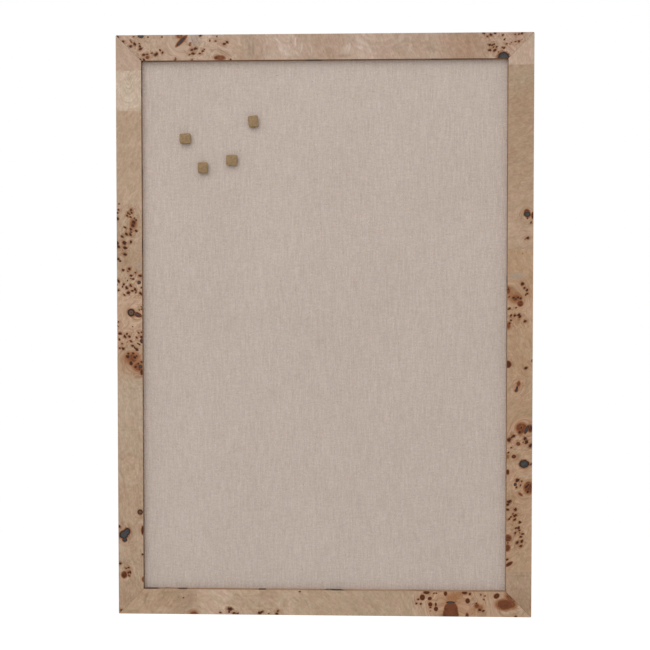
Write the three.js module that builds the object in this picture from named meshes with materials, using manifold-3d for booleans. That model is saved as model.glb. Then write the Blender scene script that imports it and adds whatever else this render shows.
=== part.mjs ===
// A wall pinboard: a mitred frame of veneered mouldings round a linen-covered cork panel,
// with four square-headed push pins and two ring hangers on the back.
// Millimetres, +Z up. The front faces -Y and the frame's back lies in the wall plane y = 0.
// The origin is the middle of the top rail's back face.

import * as THREE from 'three';
import { mergeVertices } from 'three/addons/utils/BufferGeometryUtils.js';
import Module from 'manifold-3d';

const wasm = await Module();
wasm.setup();

// Clearances: laid faces, driven or threaded pieces, and the faces of a mitre.
const GLUE_LINE = 0.1;
const FIT_GAP = 0.3;
const MITRE_GAP = 0.12;

// The frame.
const BOARD_WIDTH = 508;
const BOARD_HEIGHT = 711;
const FACE_WIDTH = 31;
const FRAME_DEPTH = 25;
const LIP_THICKNESS = 7;
const RABBET_WIDTH = 8;
const VENEER = 0.6;
const ARRIS_RADIUS = 0.4;
const CORNER_RADIUS = 1.5;

// Seams between the veneer leaves, measured along each moulding from the end that comes first
// going clockwise round the front. A negative distance counts back from the other end.
const TOP_SEAMS = [155];
const RIGHT_SEAMS = [39, 261, 417, -56];
const BOTTOM_SEAMS = [-97, -72];
const LEFT_SEAMS = [-420, -43];

// The panel that lies in the rabbet.
const PANEL_CLEARANCE = 1;
const LINEN = 0.7;
const CORK = 9;
const BACKING = 3;
const HEM_WIDTH = 28;

// Corner nails: V-shaped steel strips driven into each mitre from the back.
const NAIL_LEG = 8;
const NAIL_STEEL = 0.8;
const NAIL_DEPTH = 10;
const NAIL_SINK = 0.5;
const NAIL_INSETS = { outer: 7, inner: 16 };

// Panel points: flat steel darts driven into the rabbet wall behind the panel.
const POINT_WIDTH = 12;
const POINT_STEEL = 0.6;
const POINT_DRIVEN = 7;
const POINT_LAP = 9;
const POINT_CORNER_INSET = 130;

// Ring hangers on the backs of the stiles.
const HANGER_DROP = 140;
const STRAP_STEEL = 0.9;
const STRAP_SLIT = 0.15;
const STRAP_WIDTH = 11;
const STRAP_LENGTH = 28;
const RING_WIRE_RADIUS = 1.3;
const RING_WIDTH = 18;
const RING_DROP = 13;
const RING_BEND_RADIUS = 3;
const SCREW_DROP = 21;
const SCREW_LENGTH = 15;
const SCREW_RADIUS = 1.7;
const SCREW_POINT = 3.4;
const SCREW_HEAD_RADIUS = 3.4;
const SCREW_HEAD_HEIGHT = 2;
const SCREW_HEAD_STEPS = 4;
const DRIVE_SLOT = 0.9;
const DRIVE_DEPTH = 1.1;

// Bumpers on the lower corners of the back.
const BUMPER_RADIUS = 5.5;
const BUMPER_HEIGHT = 3.2;
const BUMPER_EASING = 1.2;
const BUMPER_INSET = 11.5;

// Push pins. Each is placed from the left and top edges of the linen that shows.
const PINS = [
  { right: 53.5, down: 94.5, turn: 4, wide: 14.2, tall: 12.4 },
  { right: 137, down: 74, turn: 6, wide: 12.3, tall: 14 },
  { right: 75, down: 130, turn: 1, wide: 12.6, tall: 13.3 },
  { right: 110.5, down: 121, turn: 0, wide: 14, tall: 12.9 },
];
const HEAD_DEPTH = 5.5;
const HEAD_BACK_INSET = 0.7;
const HEAD_CORNER_RADIUS = 1.2;
const HEAD_EASING = 0.6;
const SHANK_RADIUS = 0.6;
const SHANK_IN_BOARD = 9;
const SHANK_IN_HEAD = 3;
const SHANK_TIP = 2.5;

// Levels along Y that several pieces share.
const FACE_FRONT = -FRAME_DEPTH;
const VENEER_BACK = FACE_FRONT + VENEER;
const CORE_FRONT = VENEER_BACK + GLUE_LINE;
const LIP_BACK = FACE_FRONT + LIP_THICKNESS;
const LINEN_FRONT = LIP_BACK + GLUE_LINE;
const CORK_FRONT = LINEN_FRONT + LINEN + GLUE_LINE;
const CORK_BACK = CORK_FRONT + CORK;
const BACKING_FRONT = CORK_BACK + GLUE_LINE;
const BACKING_BACK = BACKING_FRONT + BACKING;
const HEM_FRONT = BACKING_BACK + GLUE_LINE;
const HEM_BACK = HEM_FRONT + LINEN;

// Sizes across the board that several pieces share.
const WALL_WIDTH = FACE_WIDTH - RABBET_WIDTH;
const SIGHT_WIDTH = BOARD_WIDTH - 2 * FACE_WIDTH;
const SIGHT_HEIGHT = BOARD_HEIGHT - 2 * FACE_WIDTH;
const PANEL_WIDTH = BOARD_WIDTH - 2 * WALL_WIDTH - 2 * PANEL_CLEARANCE;
const PANEL_HEIGHT = BOARD_HEIGHT - 2 * WALL_WIDTH - 2 * PANEL_CLEARANCE;
const HANGER_INSET = WALL_WIDTH / 2;

const ROUND_STEPS = 16;
const QUARTER = Math.PI / 2;

function finish(colour, roughness, metalness) {
  return new THREE.MeshStandardMaterial({ color: colour, roughness, metalness });
}

function piece(name, geometry, material) {
  const mesh = new THREE.Mesh(geometry, material);
  mesh.name = name;
  return mesh;
}

// Booleans: welds a closed geometry into a solid, and turns a solid back into a geometry.
function solidOf(geometry) {
  const bare = geometry.clone();
  bare.deleteAttribute('normal');
  bare.deleteAttribute('uv');
  const welded = mergeVertices(bare, 1e-4);
  const mesh = new wasm.Mesh({
    numProp: 3,
    vertProperties: new Float32Array(welded.attributes.position.array),
    triVerts: new Uint32Array(welded.index.array),
  });
  return new wasm.Manifold(mesh);
}

function geometryOf(solid) {
  const mesh = solid.getMesh();
  const geometry = new THREE.BufferGeometry();
  geometry.setAttribute('position', new THREE.BufferAttribute(mesh.vertProperties, 3));
  geometry.setIndex(new THREE.BufferAttribute(mesh.triVerts, 1));
  geometry.computeVertexNormals();
  return geometry;
}

function cut(geometry, tools) {
  let solid = solidOf(geometry);
  for (const tool of tools) {
    solid = solid.subtract(solidOf(tool));
  }
  return geometryOf(solid);
}

function common(first, second) {
  return geometryOf(solidOf(first).intersect(solidOf(second)));
}

// Basic forms. A bar's outline is drawn in (y, z), and a plate's in (x, z).
function barAlongX(shape, from, to) {
  const geometry = new THREE.ExtrudeGeometry(shape, {
    depth: to - from,
    bevelEnabled: false,
    curveSegments: ROUND_STEPS / 4,
  });
  const axes = new THREE.Matrix4().makeBasis(
    new THREE.Vector3(0, 1, 0),
    new THREE.Vector3(0, 0, 1),
    new THREE.Vector3(1, 0, 0),
  );
  return geometry.applyMatrix4(axes).translate(from, 0, 0);
}

function plateAlongY(shape, front, back) {
  const geometry = new THREE.ExtrudeGeometry(shape, {
    depth: back - front,
    bevelEnabled: false,
    curveSegments: ROUND_STEPS / 4,
  });
  return geometry.rotateX(QUARTER).translate(0, back, 0);
}

function slab(width, height, front, back) {
  const box = new THREE.BoxGeometry(width, back - front, height);
  return box.translate(0, (front + back) / 2, 0);
}

function rodAlongY(radius, front, back) {
  const rod = new THREE.CylinderGeometry(radius, radius, back - front, ROUND_STEPS);
  return rod.translate(0, (front + back) / 2, 0);
}

function rectangle(yFrom, yTo, zFrom, zTo) {
  return new THREE.Shape([
    new THREE.Vector2(yFrom, zFrom),
    new THREE.Vector2(yTo, zFrom),
    new THREE.Vector2(yTo, zTo),
    new THREE.Vector2(yFrom, zTo),
  ]);
}

// Mouldings lie along X, with the outer edge at z = 0 and the inner edge at z = -FACE_WIDTH.
// An end that reaches the corner is leaned to 45 degrees, and any other end stays square.
function moulding(shape, from, to, length) {
  const geometry = barAlongX(shape, from, to);
  const position = geometry.attributes.position;
  for (let i = 0; i < position.count; i += 1) {
    const x = position.getX(i);
    const z = position.getZ(i);
    const atStart = x < (from + to) / 2;
    if (atStart && from <= -length / 2) {
      position.setX(i, x - z + MITRE_GAP);
    }
    if (!atStart && to >= length / 2) {
      position.setX(i, x + z - MITRE_GAP);
    }
  }
  return geometry;
}

// Eases the board's outer corners: keeps what lies within a plate whose two corners on z = 0 are round.
function easeCorners(geometry, length) {
  const half = length / 2;
  const r = CORNER_RADIUS;
  const outline = new THREE.Shape();
  outline.moveTo(-half, -2 * FACE_WIDTH);
  outline.lineTo(half, -2 * FACE_WIDTH);
  outline.lineTo(half, -r);
  outline.absarc(half - r, -r, r, 0, QUARTER, false);
  outline.lineTo(r - half, 0);
  outline.absarc(r - half, -r, r, QUARTER, 2 * QUARTER, false);
  outline.closePath();
  return common(geometry, plateAlongY(outline, FACE_FRONT - FIT_GAP, FIT_GAP));
}

function coreShape() {
  const outer = -VENEER - GLUE_LINE;
  const inner = -FACE_WIDTH + VENEER + GLUE_LINE;
  return new THREE.Shape([
    new THREE.Vector2(CORE_FRONT, outer),
    new THREE.Vector2(0, outer),
    new THREE.Vector2(0, -WALL_WIDTH),
    new THREE.Vector2(LIP_BACK, -WALL_WIDTH),
    new THREE.Vector2(LIP_BACK, inner),
    new THREE.Vector2(CORE_FRONT, inner),
  ]);
}

function leafShape() {
  const shape = new THREE.Shape();
  const arrisLevel = FACE_FRONT + ARRIS_RADIUS;
  shape.moveTo(VENEER_BACK, 0);
  shape.lineTo(arrisLevel, 0);
  shape.absarc(arrisLevel, -ARRIS_RADIUS, ARRIS_RADIUS, QUARTER, 2 * QUARTER, false);
  shape.lineTo(FACE_FRONT, -FACE_WIDTH + ARRIS_RADIUS);
  shape.absarc(arrisLevel, -FACE_WIDTH + ARRIS_RADIUS, ARRIS_RADIUS, 2 * QUARTER, 3 * QUARTER, false);
  shape.lineTo(VENEER_BACK, -FACE_WIDTH);
  shape.closePath();
  return shape;
}

function outerBandShape() {
  return rectangle(CORE_FRONT, 0, -VENEER, 0);
}

function innerBandShape() {
  return rectangle(CORE_FRONT, LIP_BACK, -FACE_WIDTH, -FACE_WIDTH + VENEER);
}

// The leaves of one moulding, between its ends and its seams.
function leafGeometries(seams, length) {
  const stations = seams.map((seam) => (seam < 0 ? length / 2 + seam : seam - length / 2));
  const starts = [-length / 2, ...stations.map((x) => x + GLUE_LINE / 2)];
  const ends = [...stations.map((x) => x - GLUE_LINE / 2), length / 2];
  return starts.map((start, i) => easeCorners(moulding(leafShape(), start, ends[i], length), length));
}

// A corner nail has two legs at right angles. Its bend is on the mitre, `inset` from both edges,
// and `spare` grows it into the pocket that it leaves in the wood.
function nailGeometry(inset, spare) {
  const half = NAIL_STEEL / 2 + spare;
  const tip = NAIL_LEG + spare;
  const shape = new THREE.Shape([
    new THREE.Vector2(half, half),
    new THREE.Vector2(-tip, half),
    new THREE.Vector2(-tip, -half),
    new THREE.Vector2(-half, -half),
    new THREE.Vector2(-half, -tip),
    new THREE.Vector2(half, -tip),
  ]);
  const front = -NAIL_SINK - NAIL_DEPTH - spare;
  const back = spare > 0 ? FIT_GAP : -NAIL_SINK;
  return plateAlongY(shape, front, back).translate(-inset, 0, -inset);
}

// Nail pockets at both ends of a moulding: the far end as drawn, the near end turned a quarter.
function nailPockets(length) {
  return Object.values(NAIL_INSETS).flatMap((inset) => [
    nailGeometry(inset, FIT_GAP).translate(length / 2, 0, 0),
    nailGeometry(inset, FIT_GAP).rotateY(-QUARTER).translate(-length / 2, 0, 0),
  ]);
}

// A panel point stands in the rabbet wall at z = -WALL_WIDTH and laps the panel behind its hem.
function pointGeometry(spare) {
  const half = POINT_WIDTH / 2 + spare;
  const wall = -WALL_WIDTH;
  const shoulder = wall + POINT_DRIVEN / 2 + spare;
  const shape = new THREE.Shape([
    new THREE.Vector2(-half, wall - PANEL_CLEARANCE - POINT_LAP),
    new THREE.Vector2(half, wall - PANEL_CLEARANCE - POINT_LAP),
    new THREE.Vector2(half, shoulder),
    new THREE.Vector2(spare, wall + POINT_DRIVEN + 2 * spare),
    new THREE.Vector2(-spare, wall + POINT_DRIVEN + 2 * spare),
    new THREE.Vector2(-half, shoulder),
  ]);
  const front = HEM_BACK + FIT_GAP;
  return plateAlongY(shape, front - spare, front + POINT_STEEL + spare);
}

function pointStations(length) {
  const reach = length / 2 - POINT_CORNER_INSET;
  return [-reach, reach];
}

// One side of the frame: the core, its veneer and the points driven into it.
const coreFinish = finish(0xb59a78, 0.8, 0);
const veneerFinish = finish(0xac9178, 0.5, 0);
const edgeFinish = finish(0x8f7358, 0.55, 0);
const steelFinish = finish(0x9a9a98, 0.4, 0.9);

function frameSide(side, noun, length, seams, extraCuts) {
  const group = new THREE.Group();
  const pockets = [...nailPockets(length), ...extraCuts];
  for (const x of pointStations(length)) {
    pockets.push(pointGeometry(FIT_GAP).translate(x, 0, 0));
  }
  const half = length / 2;
  const core = cut(moulding(coreShape(), -half, half, length), pockets);
  group.add(piece(`${side}_${noun}`, easeCorners(core, length), coreFinish));
  const outerBand = moulding(outerBandShape(), -half, half, length);
  group.add(piece(`outer_band_${side}`, easeCorners(outerBand, length), edgeFinish));
  group.add(piece(`inner_band_${side}`, moulding(innerBandShape(), -half, half, length), edgeFinish));
  leafGeometries(seams, length).forEach((leaf, i) => {
    group.add(piece(`veneer_${side}_${i + 1}`, leaf, veneerFinish));
  });
  pointStations(length).forEach((x, i) => {
    const point = piece(`panel_point_${side}_${i + 1}`, pointGeometry(0), steelFinish);
    point.position.x = x;
    group.add(point);
  });
  return group;
}

// The screw hole in a stile, along the moulding from its top end.
function screwHole(length, fromStart) {
  const along = HANGER_DROP + SCREW_DROP;
  const x = fromStart ? along - length / 2 : length / 2 - along;
  const hole = rodAlongY(SCREW_RADIUS + FIT_GAP, -SCREW_LENGTH, FIT_GAP);
  return hole.translate(x, 0, -HANGER_INSET);
}

function frame() {
  const group = new THREE.Group();
  const top = frameSide('top', 'rail', BOARD_WIDTH, TOP_SEAMS, []);
  top.position.z = BOARD_HEIGHT / 2;
  const right = frameSide('right', 'stile', BOARD_HEIGHT, RIGHT_SEAMS, [screwHole(BOARD_HEIGHT, true)]);
  right.rotation.y = QUARTER;
  right.position.x = BOARD_WIDTH / 2;
  const bottom = frameSide('bottom', 'rail', BOARD_WIDTH, BOTTOM_SEAMS, []);
  bottom.rotation.y = 2 * QUARTER;
  bottom.position.z = -BOARD_HEIGHT / 2;
  const left = frameSide('left', 'stile', BOARD_HEIGHT, LEFT_SEAMS, [screwHole(BOARD_HEIGHT, false)]);
  left.rotation.y = -QUARTER;
  left.position.x = -BOARD_WIDTH / 2;
  group.add(top, right, bottom, left);
  return group;
}

function cornerNails() {
  const group = new THREE.Group();
  const corners = [
    { name: 'top_right', x: 1, z: 1, turn: 0 },
    { name: 'bottom_right', x: 1, z: -1, turn: 1 },
    { name: 'bottom_left', x: -1, z: -1, turn: 2 },
    { name: 'top_left', x: -1, z: 1, turn: 3 },
  ];
  for (const corner of corners) {
    for (const [place, inset] of Object.entries(NAIL_INSETS)) {
      const nail = piece(`corner_nail_${corner.name}_${place}`, nailGeometry(inset, 0), steelFinish);
      nail.rotation.y = corner.turn * QUARTER;
      nail.position.set((corner.x * BOARD_WIDTH) / 2, 0, (corner.z * BOARD_HEIGHT) / 2);
      group.add(nail);
    }
  }
  return group;
}

// Where a pin stands on the board, from the edges of the linen that shows.
function pinPlace(pin) {
  return { x: pin.right - SIGHT_WIDTH / 2, z: SIGHT_HEIGHT / 2 - pin.down };
}

function pinHoles(front, back) {
  return PINS.map((pin) => {
    const place = pinPlace(pin);
    return rodAlongY(SHANK_RADIUS + FIT_GAP, front, back).translate(place.x, 0, place.z);
  });
}

// The panel: cork glued to a backing board, with linen drawn over it and folded round the back.
function panel() {
  const group = new THREE.Group();
  const coreWidth = PANEL_WIDTH - 2 * (LINEN + GLUE_LINE);
  const coreHeight = PANEL_HEIGHT - 2 * (LINEN + GLUE_LINE);
  const holeEnd = LINEN_FRONT + SHANK_IN_BOARD + FIT_GAP;

  const cork = cut(slab(coreWidth, coreHeight, CORK_FRONT, CORK_BACK), pinHoles(LINEN_FRONT, holeEnd));
  group.add(piece('cork_sheet', cork, finish(0xa9825a, 0.95, 0)));

  const backing = slab(coreWidth, coreHeight, BACKING_FRONT, BACKING_BACK);
  group.add(piece('backing_board', backing, finish(0x8a6a4c, 0.85, 0)));

  const hollow = slab(coreWidth + 2 * GLUE_LINE, coreHeight + 2 * GLUE_LINE, LINEN_FRONT + LINEN, HEM_FRONT);
  const windowWidth = PANEL_WIDTH - 2 * HEM_WIDTH;
  const windowHeight = PANEL_HEIGHT - 2 * HEM_WIDTH;
  const backWindow = slab(windowWidth, windowHeight, BACKING_BACK, HEM_BACK + FIT_GAP);
  const wrap = slab(PANEL_WIDTH, PANEL_HEIGHT, LINEN_FRONT, HEM_BACK);
  const linen = cut(wrap, [hollow, backWindow, ...pinHoles(LINEN_FRONT - FIT_GAP, CORK_FRONT)]);
  group.add(piece('linen_cover', linen, finish(0xbaaba0, 0.95, 0)));
  return group;
}

// A strap is one strip of steel folded round the ring's bar, with both tails lying together.
// It is drawn with the bar's centre at z = 0 and the wood at y = 0.
const EYE_RADIUS = RING_WIRE_RADIUS + FIT_GAP;
const EYE_LEVEL = GLUE_LINE + EYE_RADIUS + STRAP_STEEL;
const STRAP_BACK = GLUE_LINE + 2 * STRAP_STEEL + STRAP_SLIT;

function strapGeometry() {
  const wood = GLUE_LINE;
  const upperTail = wood + STRAP_STEEL + STRAP_SLIT;
  const outerRadius = EYE_RADIUS + STRAP_STEEL;
  const outerEnd = -Math.acos((STRAP_BACK - EYE_LEVEL) / outerRadius);
  const innerEnd = -Math.acos((upperTail - EYE_LEVEL) / EYE_RADIUS);
  const fold = new THREE.Shape();
  fold.moveTo(wood, -STRAP_LENGTH);
  fold.lineTo(wood, 0);
  fold.absarc(EYE_LEVEL, 0, outerRadius, Math.PI, outerEnd, true);
  fold.lineTo(STRAP_BACK, -STRAP_LENGTH);
  fold.lineTo(upperTail, -STRAP_LENGTH);
  fold.lineTo(upperTail, EYE_RADIUS * Math.sin(innerEnd));
  fold.absarc(EYE_LEVEL, 0, EYE_RADIUS, innerEnd, Math.PI, false);
  fold.lineTo(wood + STRAP_STEEL, -STRAP_LENGTH);
  fold.closePath();
  const strip = barAlongX(fold, -STRAP_WIDTH / 2, STRAP_WIDTH / 2);

  const half = STRAP_WIDTH / 2;
  const outline = new THREE.Shape();
  outline.moveTo(-half, 2 * outerRadius);
  outline.lineTo(-half, half - STRAP_LENGTH);
  outline.absarc(0, half - STRAP_LENGTH, half, Math.PI, 2 * Math.PI, false);
  outline.lineTo(half, 2 * outerRadius);
  outline.closePath();
  const rounded = common(strip, plateAlongY(outline, 0, EYE_LEVEL + 2 * outerRadius));
  const hole = rodAlongY(SCREW_RADIUS + FIT_GAP, 0, EYE_LEVEL).translate(0, 0, -SCREW_DROP);
  return cut(rounded, [hole]);
}

// The ring is a closed D of wire. Its straight bar lies on X and its bow hangs below.
function ringGeometry() {
  const half = RING_WIDTH / 2;
  const bow = new THREE.Path();
  bow.moveTo(0, 0);
  bow.lineTo(half - RING_BEND_RADIUS, 0);
  bow.absarc(half - RING_BEND_RADIUS, -RING_BEND_RADIUS, RING_BEND_RADIUS, QUARTER, 0, true);
  bow.lineTo(half, half - RING_DROP);
  bow.absarc(0, half - RING_DROP, half, 0, -Math.PI, true);
  bow.lineTo(-half, -RING_BEND_RADIUS);
  bow.absarc(RING_BEND_RADIUS - half, -RING_BEND_RADIUS, RING_BEND_RADIUS, Math.PI, QUARTER, true);
  bow.lineTo(0, 0);
  const steps = 4 * ROUND_STEPS;
  const points = bow.getSpacedPoints(steps).slice(0, steps);
  const route = new THREE.CatmullRomCurve3(points.map((p) => new THREE.Vector3(p.x, 0, p.y)), true);
  return new THREE.TubeGeometry(route, steps, RING_WIRE_RADIUS, ROUND_STEPS / 2, true);
}

// A pan-headed screw, drawn with its head's seat at y = 0 and its point towards -Y.
function screwGeometry() {
  const reach = -(SCREW_LENGTH - FIT_GAP);
  const profile = [
    new THREE.Vector2(0, reach),
    new THREE.Vector2(SCREW_RADIUS, reach + SCREW_POINT),
    new THREE.Vector2(SCREW_RADIUS, 0),
  ];
  for (let i = 0; i < SCREW_HEAD_STEPS; i += 1) {
    const angle = (i / SCREW_HEAD_STEPS) * QUARTER;
    const dome = new THREE.Vector2(SCREW_HEAD_RADIUS * Math.cos(angle), SCREW_HEAD_HEIGHT * Math.sin(angle));
    profile.push(dome);
  }
  profile.push(new THREE.Vector2(0, SCREW_HEAD_HEIGHT));
  const blank = new THREE.LatheGeometry(profile, ROUND_STEPS);
  const arm = SCREW_HEAD_RADIUS;
  const slotFront = SCREW_HEAD_HEIGHT - DRIVE_DEPTH;
  const slotBack = SCREW_HEAD_HEIGHT + FIT_GAP;
  return cut(blank, [slab(arm, DRIVE_SLOT, slotFront, slotBack), slab(DRIVE_SLOT, arm, slotFront, slotBack)]);
}

function hangers() {
  const group = new THREE.Group();
  const zinc = finish(0xb0aca0, 0.35, 0.9);
  // The ring hangs down and leans on its strap's tails, clear of them by the fit gap.
  const lean = Math.asin((STRAP_BACK + FIT_GAP + RING_WIRE_RADIUS - EYE_LEVEL) / RING_DROP);
  for (const [side, sign] of [['left', -1], ['right', 1]]) {
    const hanger = new THREE.Group();
    hanger.position.set(sign * (BOARD_WIDTH / 2 - HANGER_INSET), 0, BOARD_HEIGHT / 2 - HANGER_DROP);
    hanger.add(piece(`hanger_strap_${side}`, strapGeometry(), zinc));
    const ring = piece(`hanger_ring_${side}`, ringGeometry(), zinc);
    ring.position.y = EYE_LEVEL;
    ring.rotation.x = lean;
    hanger.add(ring);
    const screw = piece(`hanger_screw_${side}`, screwGeometry(), steelFinish);
    screw.position.set(0, STRAP_BACK + GLUE_LINE, -SCREW_DROP);
    hanger.add(screw);
    group.add(hanger);
  }
  return group;
}

function bumpers() {
  const group = new THREE.Group();
  const profile = [
    new THREE.Vector2(0, GLUE_LINE),
    new THREE.Vector2(BUMPER_RADIUS, GLUE_LINE),
    new THREE.Vector2(BUMPER_RADIUS, BUMPER_HEIGHT - BUMPER_EASING),
    new THREE.Vector2(BUMPER_RADIUS - BUMPER_EASING, BUMPER_HEIGHT),
    new THREE.Vector2(0, BUMPER_HEIGHT),
  ];
  for (const [side, sign] of [['left', -1], ['right', 1]]) {
    const dome = new THREE.LatheGeometry(profile, 2 * ROUND_STEPS);
    const bumper = piece(`wall_bumper_${side}`, dome, finish(0x3a3836, 0.8, 0));
    bumper.position.set(sign * (BOARD_WIDTH / 2 - BUMPER_INSET), 0, BUMPER_INSET - BOARD_HEIGHT / 2);
    group.add(bumper);
  }
  return group;
}

// A pin head is a square block with round corners, a little narrower where it meets the linen.
// It is drawn with its back at y = 0.
function headGeometry(wide, tall) {
  const x = wide / 2 - HEAD_EASING;
  const z = tall / 2 - HEAD_EASING;
  const r = HEAD_CORNER_RADIUS;
  const outline = new THREE.Shape();
  outline.absarc(x - r, z - r, r, 0, QUARTER, false);
  outline.absarc(r - x, z - r, r, QUARTER, 2 * QUARTER, false);
  outline.absarc(r - x, r - z, r, 2 * QUARTER, 3 * QUARTER, false);
  outline.absarc(x - r, r - z, r, 3 * QUARTER, 4 * QUARTER, false);
  const block = new THREE.ExtrudeGeometry(outline, {
    depth: HEAD_DEPTH - 2 * HEAD_EASING,
    bevelThickness: HEAD_EASING,
    bevelSize: HEAD_EASING,
    bevelSegments: 2,
    curveSegments: 3,
  });
  block.rotateX(QUARTER).translate(0, -HEAD_EASING, 0);
  const position = block.attributes.position;
  for (let i = 0; i < position.count; i += 1) {
    const backness = 1 + position.getY(i) / HEAD_DEPTH;
    position.setX(i, position.getX(i) * (1 - (backness * 2 * HEAD_BACK_INSET) / wide));
    position.setZ(i, position.getZ(i) * (1 - (backness * 2 * HEAD_BACK_INSET) / tall));
  }
  const socket = rodAlongY(SHANK_RADIUS + FIT_GAP, -SHANK_IN_HEAD - FIT_GAP, FIT_GAP);
  return cut(block, [socket]);
}

function shankGeometry() {
  const tip = SHANK_IN_BOARD + FIT_GAP;
  const profile = [
    new THREE.Vector2(0, -SHANK_IN_HEAD),
    new THREE.Vector2(SHANK_RADIUS, -SHANK_IN_HEAD),
    new THREE.Vector2(SHANK_RADIUS, tip - SHANK_TIP),
    new THREE.Vector2(0, tip),
  ];
  return new THREE.LatheGeometry(profile, ROUND_STEPS / 2);
}

function pins() {
  const group = new THREE.Group();
  const brass = finish(0x9b825a, 0.45, 0.6);
  PINS.forEach((pin, i) => {
    const place = pinPlace(pin);
    const body = new THREE.Group();
    body.position.set(place.x, LINEN_FRONT - FIT_GAP, place.z);
    body.rotation.y = -THREE.MathUtils.degToRad(pin.turn);
    body.add(piece(`pin_head_${i + 1}`, headGeometry(pin.wide, pin.tall), brass));
    body.add(piece(`pin_shank_${i + 1}`, shankGeometry(), steelFinish));
    group.add(body);
  });
  return group;
}

const board = new THREE.Group();
board.position.z = (FACE_WIDTH - BOARD_HEIGHT) / 2;
board.add(frame(), cornerNails(), panel(), hangers(), bumpers(), pins());

export default board;
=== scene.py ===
# A wall pinboard: a mitred frame of burl-veneered mouldings round a linen-covered cork panel,
# with four square brass push pins. Metres, +Z up, and the front faces -Y.
import math

import bmesh
import bpy
import numpy as np
from mathutils import Matrix, Vector


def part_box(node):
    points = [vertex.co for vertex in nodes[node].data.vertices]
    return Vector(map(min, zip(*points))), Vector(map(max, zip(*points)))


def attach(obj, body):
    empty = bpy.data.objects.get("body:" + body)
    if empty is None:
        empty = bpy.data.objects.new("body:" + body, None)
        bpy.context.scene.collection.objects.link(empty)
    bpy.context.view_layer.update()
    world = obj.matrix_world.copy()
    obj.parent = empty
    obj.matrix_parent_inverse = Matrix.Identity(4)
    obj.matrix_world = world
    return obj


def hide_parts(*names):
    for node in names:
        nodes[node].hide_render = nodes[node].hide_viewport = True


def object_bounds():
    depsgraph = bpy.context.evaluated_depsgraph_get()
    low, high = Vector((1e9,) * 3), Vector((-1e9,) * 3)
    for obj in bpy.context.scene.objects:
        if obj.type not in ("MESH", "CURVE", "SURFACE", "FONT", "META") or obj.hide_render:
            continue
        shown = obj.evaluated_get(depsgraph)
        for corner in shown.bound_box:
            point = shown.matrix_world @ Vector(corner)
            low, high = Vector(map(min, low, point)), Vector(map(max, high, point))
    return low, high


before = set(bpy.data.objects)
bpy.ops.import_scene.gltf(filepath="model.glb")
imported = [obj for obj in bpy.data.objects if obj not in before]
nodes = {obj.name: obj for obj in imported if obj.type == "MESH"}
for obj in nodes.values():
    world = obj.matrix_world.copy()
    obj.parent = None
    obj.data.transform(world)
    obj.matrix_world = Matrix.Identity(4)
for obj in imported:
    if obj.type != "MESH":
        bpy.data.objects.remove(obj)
cad_box = [list(corner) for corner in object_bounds()]


# The studio. The board hangs before a white sweep with a pale floor below it, lit by an even
# white room and one large soft lamp from above and a little to the left.
CAMERA_PLACE = (0.0352, -1.195, -0.3071)
CAMERA_TURN = (88.50, 0.0, 1.65)
CAMERA_LENS = 53.10
CAMERA_SENSOR = 36
FLOOR_DROP = 0.90
FLOOR_REACH = 4.0
FLOOR_GLOW = 0.80
FLOOR_WHITE = 1.18
FLOOR_PAINT = (0.9, 0.9, 0.9, 1.0)
ROOM_LIGHT = 0.60
LAMP_PLACE = (-0.6, -2.5, 1.40)
LAMP_SIZE = 3.0
LAMP_POWER = 46.4
WHITE = (1.0, 1.0, 1.0, 1.0)

scene = bpy.context.scene
scene.view_settings.view_transform = "Standard"


def lay(tree, kind, sockets, **options):
    """Adds one shader node with its options, fills its sockets, and returns its outputs."""
    node = tree.nodes.new("ShaderNode" + kind)
    for name, value in options.items():
        setattr(node, name, value)
    for name, value in sockets.items():
        if isinstance(value, bpy.types.NodeSocket):
            tree.links.new(value, node.inputs[name])
        else:
            node.inputs[name].default_value = value
    return node.outputs


def sum_of(operation, first, second=0.0):
    """The result of one arithmetic node, in the node tree of its first value."""
    return lay(first.id_data, "Math", {0: first, 1: second}, operation=operation)[0]


def product(first, *others):
    """Several values multiplied together."""
    for other in others:
        first = sum_of("MULTIPLY", first, other)
    return first


def shows_background(tree):
    """1 on rays that show the background itself: from the camera, off gloss or through glass."""
    path = lay(tree, "LightPath", {})
    seen = sum_of("MAXIMUM", path["Is Camera Ray"], path["Is Glossy Ray"])
    return sum_of("MAXIMUM", seen, path["Is Transmission Ray"])


def make_object(name, bm, finish):
    """Turns a bmesh into an object with one finish."""
    mesh = bpy.data.meshes.new(name)
    bm.to_mesh(mesh)
    bm.free()
    mesh.materials.append(finish)
    made = bpy.data.objects.new(name, mesh)
    scene.collection.objects.link(made)
    return made


def hang_camera():
    """The camera at the photograph's viewing angle."""
    camera = bpy.data.objects.new("camera", bpy.data.cameras.new("camera"))
    camera.data.sensor_width = CAMERA_SENSOR
    camera.data.lens = CAMERA_LENS
    camera.location = CAMERA_PLACE
    camera.rotation_euler = [math.radians(angle) for angle in CAMERA_TURN]
    scene.collection.objects.link(camera)
    scene.camera = camera


def light_room():
    """An even room light that the camera sees as plain white."""
    room = bpy.data.worlds.new("room")
    room.use_nodes = True
    tree = room.node_tree
    glow = lay(tree, "Background", {"Color": WHITE, "Strength": ROOM_LIGHT})
    sweep = lay(tree, "Background", {"Color": WHITE, "Strength": 1.0})
    both = lay(tree, "MixShader", {0: shows_background(tree), 1: glow[0], 2: sweep[0]})
    tree.links.new(both[0], tree.nodes["World Output"].inputs["Surface"])
    scene.world = room


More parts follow.
